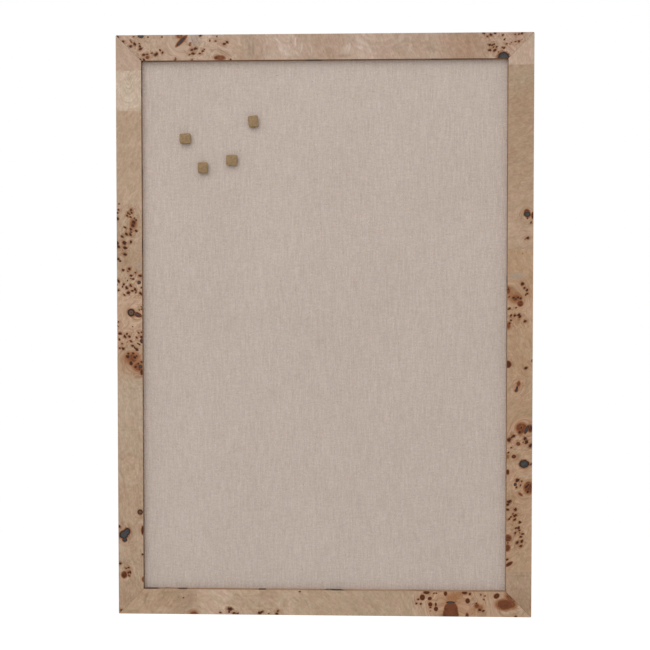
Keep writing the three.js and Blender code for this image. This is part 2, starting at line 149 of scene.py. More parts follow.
def hang_lamp():
    """The soft lamp, turned to the middle of the board."""
    lamp = bpy.data.objects.new("lamp", bpy.data.lights.new("lamp", "AREA"))
    lamp.data.size = LAMP_SIZE
    lamp.data.energy = LAMP_POWER
    lamp.location = LAMP_PLACE
    low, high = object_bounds()
    aim = (Vector(low) + Vector(high)) / 2 - Vector(LAMP_PLACE)
    lamp.rotation_euler = aim.to_track_quat("-Z", "Y").to_euler()
    scene.collection.objects.link(lamp)


def lay_floor():
    """A pale floor that the camera sees as white, with the board's shadow kept in it."""
    bm = bmesh.new()
    bmesh.ops.create_grid(bm, x_segments=1, y_segments=1, size=FLOOR_REACH)
    bmesh.ops.translate(bm, verts=bm.verts, vec=(0, 0, cad_box[0][2] - FLOOR_DROP))
    paint = bpy.data.materials.new("floor_paint")
    paint.use_nodes = True
    tree = paint.node_tree
    matt = lay(tree, "BsdfDiffuse", {"Color": FLOOR_PAINT})
    glow = lay(tree, "Emission", {"Color": WHITE, "Strength": FLOOR_WHITE})
    share = product(shows_background(tree), FLOOR_GLOW)
    both = lay(tree, "MixShader", {0: share, 1: matt[0], 2: glow[0]})
    tree.links.new(both[0], tree.nodes["Material Output"].inputs["Surface"])
    floor = make_object("floor", bm, paint)


hang_camera()
light_room()
hang_lamp()
lay_floor()


# The four mouldings. Each is a rabbeted bar of pale poplar, planed and left bare, cut at 45 degrees
# at both ends. Only their backs and the rabbet's wall show, and the grain runs along each bar.
def shade(red, green, blue):
    """A colour as the eye reads it, 0 to 255, as the linear colour that a shader takes."""
    linear = []
    for level in (red / 255, green / 255, blue / 255):
        linear.append(level / 12.92 if level <= 0.04045 else ((level + 0.055) / 1.055) ** 2.4)
    return (*linear, 1.0)


POPLAR_PALE = shade(205, 178, 138)
POPLAR_DARK = shade(172, 138, 98)
POPLAR_PORE = shade(142, 108, 74)
NOISE_LOW = 0.3
NOISE_HIGH = 0.7


def mix(factor, first, second, mode="MIX"):
    """One colour laid over another."""
    sockets = {0: factor, 6: first, 7: second}
    linked = [value for value in sockets.values() if isinstance(value, bpy.types.NodeSocket)]
    return lay(linked[0].id_data, "Mix", sockets, data_type="RGBA", blend_type=mode)[2]


def fade(value, start, end, low=0.0, high=1.0):
    """A smooth change from low to high as value goes from start to end."""
    sockets = {"Value": value, "From Min": start, "From Max": end, "To Min": low, "To Max": high}
    return lay(value.id_data, "MapRange", sockets, interpolation_type="SMOOTHSTEP")[0]


def uneven(pattern, low=0.0, high=1.0):
    """A noise pattern drawn out to a level between low and high."""
    return fade(pattern, NOISE_LOW, NOISE_HIGH, low, high)


def noise(coords, stretch, detail=3.0, distortion=0.0):
    """Noise with so many features to the metre along each axis."""
    tree = coords.id_data
    stretched = lay(tree, "Mapping", {"Vector": coords, "Scale": stretch})[0]
    sockets = {"Vector": stretched, "Scale": 1.0, "Detail": detail, "Distortion": distortion}
    return lay(tree, "TexNoise", sockets)[0]


def new_finish(name, uv_map=""):
    """A new finish, and the coordinates its pattern reads: a UV map, or each point's place on the piece."""
    finish = bpy.data.materials.new(name)
    finish.use_nodes = True
    if uv_map:
        return finish, lay(finish.node_tree, "UVMap", {}, uv_map=uv_map)[0]
    return finish, lay(finish.node_tree, "TexCoord", {})["Object"]


def finished(finish, colour, roughness, height, depth, gloss=0.5, metal=0.0, sheen=0.0):
    """The finish with its colour, roughness and bump joined up. The bump's depth is in metres."""
    tree = finish.node_tree
    shader = tree.nodes["Principled BSDF"].inputs
    bump = lay(tree, "Bump", {"Height": height, "Distance": depth, "Strength": 1.0})[0]
    for name, socket in (("Base Color", colour), ("Roughness", roughness), ("Normal", bump)):
        tree.links.new(socket, shader[name])
    for name, level in (("Specular IOR Level", gloss), ("Metallic", metal), ("Sheen Weight", sheen)):
        shader[name].default_value = level
    return finish


def along_axes(axis, along, across):
    """How often a pattern repeats on X, Y and Z when it runs along one of them."""
    return tuple(along if name == axis else across for name in "xyz")


def poplar(axis):
    """Bare planed poplar with its grain along one axis."""
    finish, coords = new_finish(f"poplar_along_{axis}")
    growth = noise(coords, along_axes(axis, 6, 260), 4.0, 0.6)
    fibre = noise(coords, along_axes(axis, 60, 2600), 2.0)
    pore = noise(coords, along_axes(axis, 220, 3600), 1.0)
    wood = mix(fade(growth, 0.32, 0.68), POPLAR_DARK, POPLAR_PALE)
    wood = mix(fade(pore, 0.64, 0.72, 0.0, 0.5), wood, POPLAR_PORE)
    return finished(finish, wood, uneven(fibre, 0.62, 0.82), fibre, depth=0.00008)


def dress(names, finish):
    """Gives CAD nodes a better finish."""
    for name in names:
        nodes[name].material_slots[0].material = finish


dress(["top_rail", "bottom_rail"], poplar("x"))
dress(["left_stile", "right_stile"], poplar("z"))


# The edge bands. Strips of the same veneer glued down the outer edge of each moulding and down the
# lip's inner edge, grain along the strip. The inner ones are browner, with dark runs of ink and bark
# that are partly painted shade, and their tints by side are painted light.
OUTER_BAND = ((186, 160, 134), (164, 136, 110))
# Painted light: the inner bands are lit and shaded copies of one veneer. The bottom band faces up and is
# painted paler than the top to stand for the light from above falling on it.
INNER_BAND_LIT_TINTS = {
    "top": ((148, 111, 80), (106, 73, 47)),
    "right": ((160, 124, 93), (120, 87, 61)),
    "bottom": ((182, 152, 124), (147, 116, 89)),
    "left": ((154, 119, 88), (112, 79, 52)),
}
# Dark runs on the inner bands, of ink and bark; the bottom band's first run is partly painted shade
# near the bottom-left corner: how far along from the left or top end, and half their length.
INK_AND_SHADE_RUNS = {
    "top": [(0.242, 0.013)],
    "right": [(0.300, 0.008)],
    "bottom": [(0.041, 0.010), (0.079, 0.007), (0.178, 0.006)],
    "left": [(0.069, 0.006), (0.167, 0.004), (0.257, 0.011)],
}
RUN_EDGE = 1.3
RUN_HEART = 0.8
RUN_STRENGTH = 0.85
RUN_INK_AND_SHADE = shade(70, 44, 34)
# The noise level at which a band's small knots start, how softly they do, and how strongly they cover it.
OUTER_KNOTS = 0.65
INNER_KNOTS = 0.68
SMALL_KNOT_SOFT = 0.05
SMALL_KNOT_STRENGTH = 0.9
SMALL_KNOT_DARK = shade(52, 46, 44)

left_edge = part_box("outer_band_left")[0].x
right_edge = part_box("outer_band_right")[1].x
top_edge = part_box("outer_band_top")[1].z
bottom_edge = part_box("outer_band_bottom")[0].z


def band_veneer(name, axis, tints, knot_start, runs):
    """Edge veneer, grain along one axis, with dark knots where noise passes knot_start, and dark runs."""
    finish, coords = new_finish(name)
    light, dark = tints
    place = lay(finish.node_tree, "SeparateXYZ", {0: coords})[axis.upper()]
    figure = noise(coords, along_axes(axis, 22, 240), 4.0, 0.8)
    fibre = noise(coords, along_axes(axis, 180, 2800), 2.0)
    knots = noise(coords, along_axes(axis, 34, 55), 2.0)
    wood = mix(uneven(figure), shade(*dark), shade(*light))
    knotted = fade(knots, knot_start, knot_start + SMALL_KNOT_SOFT, 0.0, SMALL_KNOT_STRENGTH)
    wood = mix(knotted, wood, SMALL_KNOT_DARK)
    # Dark runs of ink and bark, the bottom band's first one partly painted shade.
    for along, half_length in runs:
        middle = left_edge + along if axis == "x" else top_edge - along
        away = sum_of("ABSOLUTE", sum_of("SUBTRACT", place, middle))
        away = sum_of("ADD", away, product(figure, half_length / 2))
        inked_and_shaded = fade(away, RUN_EDGE * half_length, RUN_HEART * half_length, 0.0, RUN_STRENGTH)
        wood = mix(inked_and_shaded, wood, RUN_INK_AND_SHADE)
    return finished(finish, wood, uneven(fibre, 0.42, 0.58), fibre, depth=0.00004, gloss=0.2)


for side, tints in INNER_BAND_LIT_TINTS.items():
    axis = "x" if side in ("top", "bottom") else "z"
    outer = band_veneer(f"outer_band_{side}", axis, OUTER_BAND, OUTER_KNOTS, [])
    inner = band_veneer(f"inner_band_{side}", axis, tints, INNER_KNOTS, INK_AND_SHADE_RUNS[side])
    dress([f"outer_band_{side}"], outer)
    dress([f"inner_band_{side}"], inner)


# The veneer leaves. Thin burl leaves laid end to end on the faces of the mouldings, butted at
# straight seams and cut together at the mitres. Knots, stains and filler are placed as on the board.
MM = 0.001
LEAF_ARRIS = 0.00028
LEAF_CELL = 0.0009
ARRIS_STEPS = 3
SEAM_GAP = 0.00003
MITRE_GAP = 0.00014
SAME_POINT = 1e-7
CORNER_RADIUS = 0.0015

# Each leaf's tint, the turn of its grain from the run of the moulding in degrees, and how striped it is.
LEAVES = {
    "top_1": ((179, 153, 132), 24, 0.2),
    "top_2": ((176, 151, 132), 68, 0.8),
    "right_1": ((183, 157, 137), 14, 0.3),
    "right_2": ((168, 140, 115), 74, 0.3),
    "right_3": ((172, 141, 113), -24, 0.6),
    "right_4": ((173, 143, 116), 38, 0.4),
    "right_5": ((164, 136, 112), -18, 0.8),
    "bottom_1": ((176, 150, 126), -40, 0.7),
    "bottom_2": ((170, 143, 119), 12, 0.4),
    "bottom_3": ((174, 146, 120), 52, 0.4),
    "left_1": ((173, 149, 126), 8, 0.9),
    "left_2": ((174, 148, 124), -28, 0.4),
    "left_3": ((174, 148, 128), 40, 0.2),
}

# Paler and darker bands across a moulding: the wood's tone, with the paler bands partly a painted sheen
# that stands for the veneer's chatoyance. In millimetres along it from its left or top end: where the
# band's middle is, half its width, how much lighter or darker it is, and how much warmer.
TONE_AND_SHEEN_BANDS = {
    "top": [
        (45, 20, -0.05, 0), (108, 16, 0.06, 0), (160, 14, -0.10, 0), (203, 17, 0.10, 0),
        (258, 18, -0.10, 0), (298, 20, 0.11, 0), (425, 25, -0.16, 0.12), (472, 16, 0.06, 0.06),
        (492, 16, 0, 0.06),
    ],
    "right": [
        (52, 16, 0, -0.08), (95, 45, -0.05, 0), (215, 55, 0.07, 0), (240, 16, 0.08, 0), (335, 12, 0.13, 0),
        (470, 14, -0.06, 0.04), (533, 12, 0.06, 0), (565, 60, 0.02, 0.04), (668, 16, 0.09, -0.02),
        (704, 28, -0.14, 0.02),
    ],
    "bottom": [
        (70, 26, -0.06, 0), (122, 28, 0.19, 0), (330, 80, -0.03, -0.03), (368, 14, 0.06, 0),
        (395, 18, 0.06, 0), (215, 18, 0.09, 0), (410, 36, -0.02, 0.27), (470, 34, 0.04, 0.08),
    ],
    "left": [
        (25, 18, 0.06, 0), (205, 18, 0.08, 0), (275, 14, -0.13, 0), (310, 15, 0.08, 0),
        (345, 45, 0.13, 0.12), (405, 14, -0.10, 0.12), (440, 50, 0.07, -0.05), (585, 60, 0.02, 0.08),
        (660, 14, 0.05, 0), (690, 34, -0.08, 0.07),
    ],
}

# Pale sapwood, a little green, with arched growth lines: where it starts and ends along the moulding, how
# high the flattest and the steepest arches rise, and the waves, the bow and the softness of its edge.
SAPWOOD = {"left": (43, 92)}
NO_SAPWOOD = (-100, -50)
SAP_ARCHES = (4, 130)
SAP_WAVE = 1.5
SAP_WAVE_RUN = 4
SAP_BOW = 3
SAP_SOFT = 3

# Pin knots, in millimetres: along the moulding from its left or top end, in from its outer
# edge, and across the knot.
PIN_KNOTS = {
    "top": [
        (9, 8, 4), (17.5, 6, 2), (19, 8, 2.5), (18.5, 13.5, 4.5), (23.5, 11, 4.5), (29, 10.5, 2),
        (29.5, 13.5, 3.5), (30.5, 17, 5), (34, 24, 4), (38.5, 23.5, 3), (34.5, 30, 4), (30, 29.5, 3),
        (44, 22, 2.5), (49.5, 23.5, 6), (54.5, 18.5, 3), (57.5, 21.5, 3.5), (22.5, 2, 2.5),
        (39.5, 2.5, 2.5), (57, 2.5, 2.5), (73.5, 28, 1.8), (73, 30.3, 3), (104, 1, 4), (91.5, 10, 2.5),
        (90.5, 12.5, 3), (98, 17, 4.5), (93.5, 18.5, 4.5), (95, 23, 4.5), (90.5, 24, 2.5), (103, 23, 3),
        (107, 20, 3.5), (108.5, 18, 3), (93.5, 30.5, 2.5), (115.5, 7.5, 2.5), (122, 8, 2.5), (124, 2.5, 2),
        (133, 11.5, 4.5), (136.5, 9.5, 3.5), (141, 30.5, 2.5), (447, 1, 3.5), (451.5, 5, 3), (456, 3, 4),
        (460.5, 1, 3.5), (470, 3.5, 3), (472, 8.5, 2.5), (454, 15, 3.5), (457.5, 15.5, 2.5),
        (459.5, 14.5, 2.5), (459, 18, 2.5), (462.5, 17.5, 3), (454.5, 21.5, 4), (460.5, 21.5, 4.5),
        (464.5, 23.5, 2), (469, 18, 2), (471.5, 19, 3), (474.5, 14, 2.5), (485, 2.5, 2.5), (489, 2.5, 3),
        (493, 1.5, 4), (489.5, 11, 3), (485, 11.5, 2), (493, 9, 1.5), (480.5, 12.3, 2), (478.5, 14.3, 1.6),
        (486, 14.8, 1.4),
    ],
    "right": [
        (229, 3, 2.5), (247.5, 7, 3.5), (249, 10, 1.5), (303.5, 13, 4), (308, 10.5, 2.5), (311, 7.5, 3),
        (315, 7, 3), (316.5, 9, 2), (320.5, 15, 3), (319.5, 18, 3), (320, 23.5, 3.5), (319, 29, 2.5),
        (310, 30.5, 3), (332, 20.5, 2), (333, 28.5, 3.5), (340.5, 17, 3.5), (343, 16, 3.5),
        (341.5, 22, 3.5), (341.5, 26.5, 3), (347.5, 26.5, 2.5), (351, 28.5, 2.5), (348.5, 9.5, 3.5),
        (405.5, 8, 3.5), (478, 13.5, 3), (483.5, 15.5, 3.5), (491.5, 9, 4.4), (495.5, 7, 4.4),
        (500, 2, 5.4), (496, 11, 1.8), (488.5, 22.5, 4), (490, 25, 2.4), (493, 28, 5), (502.5, 25.5, 2),
        (508.5, 29, 2.5), (522.5, 1, 3), (542.5, 17.5, 5), (551, 19, 2), (544, 12.5, 2), (548.5, 14, 2),
        (550.5, 7, 4), (548, 4.5, 3), (556.5, 5, 3), (568.5, 27.5, 4.5), (572.5, 29.5, 3.5), (578.5, 20, 4),
        (578.5, 30, 4), (583.5, 23, 2), (586, 20.5, 4.5), (591, 21, 3.5), (587.5, 25.5, 3), (590, 27.5, 3),
        (594, 14.5, 3.5), (597.5, 24, 1.5), (601, 16, 3.5), (601, 19, 2.5), (604, 15, 2.5),
        (606.5, 15, 1.5), (607, 20, 3), (608.5, 11.5, 3), (612, 13.5, 3), (617, 12, 3.5), (623, 13.5, 3.5),
        (619, 17.5, 4), (619.5, 29, 2), (640, 30, 3),
    ],
    "bottom": [
        (80.5, 20.5, 2), (126.5, 2.5, 2.5), (138, 7, 6), (137, 3.5, 3), (143, 2, 4), (147.5, 1.5, 2.5),
        (174.5, 2.5, 3.5), (177.5, 3.5, 3.5), (186, 2, 2), (196, 1.5, 3.5), (197.5, 5, 3), (368, 16, 2.5),
        (373, 15.5, 2.5), (370, 21, 3), (385, 7, 1.5), (385, 11, 2.5), (389, 29, 2), (392, 29, 2),
        (433, 28, 3), (445, 8.5, 4), (449.5, 7.5, 3), (441, 17, 2), (450, 21.5, 2), (451.5, 26, 2),
        (446.5, 27.5, 2), (489, 1, 3),
    ],
    "left": [
        (205, 3, 2), (212.5, 2.5, 2.5), (216, 1, 2.5), (223, 1, 4), (216.5, 14, 3), (219.5, 13, 3),
        (217.5, 16, 2.5), (212.5, 18, 3.5), (216, 18.5, 3), (221.5, 17.5, 2.5), (223, 22, 2.5),
        (225, 24, 2.5), (227.5, 21, 5), (231.5, 20, 4.6), (234, 10.5, 3), (236, 17.5, 3.5), (238, 24, 3.5),
        (242, 12, 3.5), (239.5, 18, 2.5), (242.5, 17, 4), (245, 7, 3.5), (251.5, 17.5, 3.4),
        (253, 9.5, 5.6), (258.5, 10, 4.8), (261.5, 7, 1.5), (267, 10, 4.5), (257.5, 2.5, 4), (253, 1, 4),
        (272.5, 2, 3.5), (286, 8, 3), (284.5, 15.5, 4), (287.5, 13.5, 2), (289, 22.5, 2), (293, 17.5, 3.5),
        (296.5, 17, 2), (297, 20, 2.5), (299, 13, 1.5), (293, 28.5, 3.5), (299.5, 2, 4), (303.5, 8.5, 3),
        (306.5, 7, 2), (304, 0.5, 1.5), (311, 2, 3), (316.5, 9, 3), (308, 12, 4), (314, 14, 4.5),
        (305, 17, 3.5), (311.5, 19, 3), (310, 22.5, 4), (313.5, 23, 2), (307.5, 30, 2), (314.5, 29, 3.5),
        (316.5, 30.5, 2), (331, 30, 2), (335, 27.5, 2), (334, 30.5, 2), (349.5, 1.5, 2), (355, 1, 2),
        (364, 3.5, 4), (371, 2.5, 3), (376.5, 6, 2.5), (382, 3, 2.5), (382.5, 7, 4), (355.5, 19, 1.5),
        (367.5, 9.5, 3.5), (364.5, 12, 3), (367.5, 15, 3.5), (373.5, 17, 3), (374.5, 12.5, 1.5),
        (379, 19, 3.5), (381.5, 21.5, 2.5), (383.5, 24, 4), (369, 24, 2.5), (363, 26.5, 2.5),
        (362.5, 30, 2.5), (368.5, 30, 3.5), (376, 25.5, 2), (377.5, 27.5, 2.5), (392.5, 13, 4.5),
        (388.5, 13.5, 2.5), (388.5, 19.5, 3), (393, 21, 4), (391.5, 24, 2.5), (400.5, 17, 5.5),
        (405, 22.5, 3.5), (401, 26, 2.5), (399, 30, 3.5), (408, 27, 2.5), (602.5, 1, 4), (637, 30, 2.5),
        (648.5, 2, 3.5), (654.5, 9.5, 2.5), (653.5, 12.5, 3), (660, 12, 2), (659.5, 14.5, 3),
        (663.5, 13, 2.5), (708, 3.5, 4),
    ],
}
KNOT_SEEDS = {"top": 3, "right": 5, "bottom": 7, "left": 11}

# How much of its size a knot's dark heart takes up on each moulding, and the way the knots are drawn out.
KNOT_RUN = {"top": (0.80, -25), "right": (0.96, 60), "bottom": (0.92, 20), "left": (0.92, 50)}
KNOT_STRETCH = (1.05, 1.3)
KNOT_TURN = 28

# Knots stopped with blue-black filler: along, in, length, width, and the turn of the length in degrees.
FILLED_KNOTS = {
    "top": [(1.5, 2.5, 4, 4, 0), (80, 8.3, 14.5, 2.6, -45), (31, 1.5, 6, 4, 0), (471, 30.5, 13, 13, 0)],
    "right": [
        (219, 7.5, 6, 7.2, 0), (321.5, 21, 2.6, 2.4, 0), (430.5, 19, 5.4, 2.4, 12), (480.5, 7, 10, 3.2, 24),
        (522.5, 9.8, 9, 10.6, 0), (547.7, 20.3, 3.6, 3.4, 0),
    ],
    "bottom": [(409.5, 17.7, 9.5, 2.4, 0), (391.5, 15, 2, 4.2, 0), (224.5, 29.3, 2.6, 1.6, 0)],
    "left": [
        (275, 4.2, 2, 2.4, 0), (301.2, 27.3, 3.8, 3.8, 0), (373, 30, 4.8, 3, 0), (404.7, 28.5, 4.3, 3.9, 0),
        (612.5, 6.8, 9.6, 9.8, 0), (609, 10.6, 8.2, 7.2, -20), (618.8, 7.8, 5, 5.2, 0),
        (340.9, 25.4, 6.6, 2.2, 68),
    ],
}

# Brown stains round knots: along, in, length, width, turn, how dark, from 0 to 1, and how soft the edge is.
STAINS = {
    "top": [
        (78.3, 1.5, 9.5, 6.5, 0, 0.6, 0.4), (80.5, 7.8, 17.5, 4.4, -45, 1.6, 0.35),
        (127.7, 28.2, 14.5, 6.8, 3, 0.68, 0.3), (123, 28.5, 5, 4, 0, 1.1, 0.4),
        (39, 27.3, 4.4, 4, 0, 0.9, 0.25),
    ],
    "right": [
        (217, 8, 8, 7, 0, 1.1, 0.35), (220.5, 1, 8, 3.4, 0, 1.2, 0.3), (223, 7.3, 4, 2.6, 0, 1.0, 0.4),
        (266.5, 13, 2.4, 2.4, 0, 0.35, 0.5), (311, 30, 10, 5, 0, 0.8, 0.5),
        (320.5, 20.5, 12, 15, 0, 0.6, 0.7), (314, 27, 12, 7, -40, 0.35, 0.7),
        (327, 15.5, 7.4, 7.4, 0, 0.88, 0.3), (346.5, 17, 4, 4, 0, 0.35, 0.5),
        (354, 29.5, 9, 5, 0, 0.65, 0.4), (396.5, 0.8, 4, 2.6, 0, 0.7, 0.3), (401, 30, 8.4, 8, 0, 1.2, 0.3),
        (424.5, 17, 7.5, 4.4, 10, 0.75, 0.4), (433, 19.8, 4, 4, 0, 1.15, 0.3),
        (479, 2.5, 9, 6, 0, 1.15, 0.35), (478.5, 13, 14, 16, 0, 0.62, 0.3), (481, 14, 11, 7, 10, 0.9, 0.6),
        (498, 17, 4.8, 5, 0, 0.95, 0.2), (513.5, 22.3, 4.4, 5.4, 0, 1.15, 0.25),
        (513.5, 29.5, 5.5, 3.5, 0, 0.55, 0.4), (532.5, 29.5, 6.5, 3.6, 0, 1.2, 0.35),
        (551.5, 4, 15, 12, 0, 0.85, 0.35), (551.5, 5.5, 9, 7, 0, 1.2, 0.8),
        (559.8, 14, 6.5, 3.2, -50, 0.85, 0.4), (613.5, 29.5, 8.6, 10, 0, 0.92, 0.4),
        (625.5, 30, 8.6, 8, 0, 0.92, 0.4), (645.5, 27.5, 4, 10, -32, 1.1, 0.35),
    ],
    "bottom": [
        (93.5, 1.2, 10.5, 6.5, 0, 0.64, 0.6), (375, 23.5, 6, 6.8, 0, 1.3, 0.25),
        (380, 29.7, 7.4, 4, 0, 1.25, 0.25), (384.7, 15, 5, 5, 0, 1.25, 0.3),
        (384, 22.2, 5, 4, 20, 1.2, 0.3), (391.7, 9.5, 4.8, 5.2, 0, 1.4, 0.2),
        (403.3, 28.5, 4, 5.5, 0, 1.1, 0.35), (409.7, 1, 19.5, 27, 0, 0.82, 0.1),
        (410, 7.8, 17, 22, 0, 0.78, 0.1), (411, 15, 46, 40, 0, 0.14, 0.9),
        (412, 23, 24, 15, 20, 0.32, 0.85), (420, 27, 12, 7, -30, 0.26, 0.9),
        (429.8, 1.8, 3.8, 6.5, 0, 0.95, 0.4), (430.3, 19.7, 5, 6, 0, 1.35, 0.25),
        (426.7, 29.7, 6.4, 4, 0, 1.2, 0.35), (441.5, 13.7, 7, 6.5, 0, 0.7, 0.5),
        (438, 7, 9, 14, -20, 0.2, 0.8), (446, 11.5, 8, 7, -30, 0.5, 0.6),
        (465.6, 26, 7.2, 5.6, 35, 1.3, 0.25), (475.5, 15.5, 22, 14.5, 0, 0.76, 0.4),
        (477, 14.5, 12, 7, 0, 1.0, 0.9), (484, 16, 12, 14, 30, 0.62, 0.5),
        (483, 25, 17, 1.4, -45, 1.1, 0.5), (481, 23.5, 15, 8.5, -50, 0.58, 0.6),
    ],
    "left": [
        (229.5, 20.5, 10, 8, 0, 0.8, 0.6), (340.7, 25, 11, 5.4, 68, 1.5, 0.2),
        (394, 18, 15, 20, 0, 0.58, 0.6), (405, 25.5, 15, 12, 60, 0.6, 0.6),
        (411.5, 30, 7.5, 3.4, 0, 1.2, 0.3), (607, 30, 11, 3, 0, 1.2, 0.35),
        (662.5, 7, 8.5, 7.2, 0, 1.05, 0.35), (668, 31.5, 7, 5.5, 0, 0.7, 0.45),
    ],
}

# Ring knots, dark round the edge and brown within: along, in, length, width, turn.
RING_KNOTS = {"left": [(338, 17.3, 9, 9, 0), (584.5, 27.2, 6, 6.2, 0)]}

# Pale and dark lines of figure: along, in, length, width, turn, bend to one side in millimetres, and
# how much lighter or darker, from -1 to 1.
FIGURE_LINES = {
    "top": [
        (164, 18, 26, 4, 84, 0, -0.6), (169, 17, 24, 3, 88, 1, -0.7), (180, 18, 26, 4, 86, 1, -0.6),
        (185, 20, 20, 3, 92, 0, -0.4), (152, 9, 18, 5, 80, 1, 0.6), (157.5, 12, 18, 2, 90, 0, 0.5),
        (197, 8.5, 18, 2.6, 47, -1, 0.8), (206, 17.5, 18, 11, 12, 0, 0.6), (214, 7, 12, 1.6, 105, 0, -0.6),
        (211, 6, 10, 3, 88, 0, 0.4), (218.5, 9, 15, 1.8, 88, -1.2, 0.6), (220.5, 8, 13, 1.6, 98, 1, 0.6),
        (226, 16, 16, 2, 98, -1.5, 0.9), (237, 19, 17, 1.6, 82, -2.4, 0.9), (222, 24, 8, 3, 70, 0, 0.6),
        (213, 24, 18, 4, 8, 1, 0.4), (284, 17.5, 17, 2.2, 102, -1, 0.9), (281.5, 18, 13, 6, 100, 0, 0.4),
        (262, 15, 7, 5, 20, 0, 0.5), (300, 9, 20, 14, 0, 0, 0.35), (298, 17, 10, 4, 20, 0, 0.6),
        (309.5, 20, 8, 4, 30, 0, 0.6), (346, 9, 26, 5, -29, 0, 0.4), (350, 16, 42, 2, -21, 0, -0.4),
        (357, 20, 14, 5, 95, 0, 0.45), (278, 27, 22, 5, -4, 0, -0.6), (384, 20, 22, 8, 10, 0, -0.5),
    ],
    "right": [
        (54, 10, 9, 6, 60, 1, 0.55), (60, 14, 8, 5, 110, -1, 0.45), (80, 4, 6, 3, 40, 1, 0.5),
        (114, 3, 5, 3, 80, 0, 0.5), (92, 29, 14, 2, 4, 0, 0.4), (42, 27, 14, 9, 0, 0, -0.5),
        (660, 15, 34, 1.6, 90, 0, -0.6), (676, 14, 34, 4, 92, 0, -0.45), (689, 12, 30, 2, 90, 0, -0.4),
        (182, 13, 8, 2, 70, 2, 0.7), (160, 20, 40, 6, 78, 4, -0.4),
    ],
    "bottom": [
        (205, 14, 22, 2, 70, 6, 0.6), (211, 14, 20, 2, 70, 6, -0.5), (217, 13, 18, 2, 72, 6, 0.5),
        (233, 15, 24, 1.4, -64, 0, -0.7), (89, 17, 30, 10, 90, 0, -0.5), (57, 6, 34, 8, 0, 0, 0.5),
        (64, 9.7, 6, 3.4, 20, 0, -0.9), (61, 14, 6, 2.2, 80, 0, -0.8), (62.5, 17, 15, 1.8, 65, 0.6, 0.7),
        (66, 15.5, 14, 1.6, 60, 0.6, 0.6), (64.5, 18, 13, 1.2, 62, 0.6, -0.7),
        (41.5, 16, 16, 3, 58, 1, 0.5), (34.5, 19.5, 18, 3, 72, 1, -0.8), (79, 23.5, 7, 1.6, -63, 0, 0.8),
        (75, 21.7, 6, 4, 80, 0, -0.6), (64, 26.5, 26, 5, 0, 0, -0.5), (17, 3.5, 24, 6, 0, 0, -0.5),
        (55, 19, 12, 1.4, 62, 0.6, -0.5),
    ],
    "left": [
        (91, 15.5, 36, 3, 90, 0, 0.6), (432, 14, 32, 1.4, 91, 0, -0.5), (459, 16, 30, 1.4, 89, 0, -0.35),
        (483, 15, 32, 1.8, 90, 0, -0.55), (508, 12, 26, 5, 100, 2, 0.45), (545, 16, 30, 6, 84, -2, 0.4),
    ],
}

# Swirls of growth lines: along, in, length and width of the outermost line, and its turn.
SWIRLS = {
    "top": [(209, -2, 40, 48, 0), (320, -6, 92, 66, 0)],
    "right": [(66, 34, 40, 40, 0)],
    "bottom": [(40, 36, 60, 50, 0), (160, 34, 90, 40, 0)],
    "left": [(530, 15, 60, 44, 0)],
}

# Grey-blue bloom under the finish: along, in, length, width, turn.
BLOOMS = {
    "top": [(97, 6.5, 17, 15, 0)],
    "right": [(293.5, 20, 8, 24, 0)],
    "bottom": [(437.5, 17, 10, 3, 50)],
    "left": [(281, 28, 12, 6, 0), (643, 7, 6, 4, 0)],
}

KNOT_DARK = shade(62, 31, 18)
KNOT_RIM = shade(138, 88, 54)
STAIN_EDGE = shade(148, 100, 66)
STAIN_BROWN = shade(107, 58, 33)
STAIN_DARK = shade(73, 36, 18)
RING_HEART = shade(104, 79, 60)
FILLER = shade(61, 60, 60)
FILLER_EDGE = shade(44, 28, 22)
FILLER_RIM = shade(132, 80, 48)
VEIN = shade(122, 78, 48)
BLOOM = shade(150, 140, 132)

# The colours of each kind of mark, laid in one over another: where along the mark's painted value a
# colour starts and is full, how strongly it covers the wood, and the colour.
BLOOM_LAYERS = [(1.3, 0.3, 0.5, BLOOM)]
STAIN_LAYERS = [
    (0.05, 0.40, 0.85, STAIN_EDGE), (0.36, 0.66, 0.95, STAIN_BROWN), (0.78, 1.05, 0.95, STAIN_DARK),
]
RING_LAYERS = [
    (1.6, 1.1, 0.6, KNOT_RIM), (1.18, 0.96, 1.0, FILLER_EDGE),
    (0.74, 0.5, 0.9, RING_HEART), (0.36, 0.1, 0.7, STAIN_DARK),
]
KNOT_LAYERS = [(2.2, 1.0, 0.65, KNOT_RIM), (1.25, 0.72, 1.0, KNOT_DARK)]
FILLER_LAYERS = [(1.6, 1.15, 0.8, FILLER_RIM), (1.22, 1.0, 1.0, FILLER_EDGE)]
FILLER_FACE = (0.9, 0.7)

# Casts that the marks and the figure give to the wood.
PALE_LINE = (1.22, 1.34, 1.46, 1.0)
DARK_LINE = (0.73, 0.74, 0.71, 1.0)
HALO_CAST = (0.86, 0.74, 0.62, 1.0)
PINK_CAST = (1.02, 0.988, 0.99, 1.0)
GREEN_CAST = (0.985, 1.008, 0.985, 1.0)
CREAM_CAST = (0.98, 1.02, 1.08, 1.0)
BROWN_CAST = (1.02, 0.98, 0.92, 1.0)
SAP_CAST = (1.22, 1.36, 1.52)
LEVEL_POWERS = (0.9, 1.1, 1.45)
WARM_LOSS = (0.0, 0.6, 1.0)

# How far the marks darken the wood about them and swirl its figure, in millimetres, how much each adds,
# and how far and how strongly the grain bends round one, in its own sizes. FAR: no mark is near.
HALO_REACH = 2.8
BURL_REACH = 6.5
CROWD_SHARE = 0.1
BEND_REACH = 0.9
BEND_SHARE = 0.7
FAR = 4.0

# A stain whose softness is under CRISP is paler at its heart and rises to its edge.
CRISP = 0.3
CRISP_HEART = 0.78
CRISP_RISE = 0.34

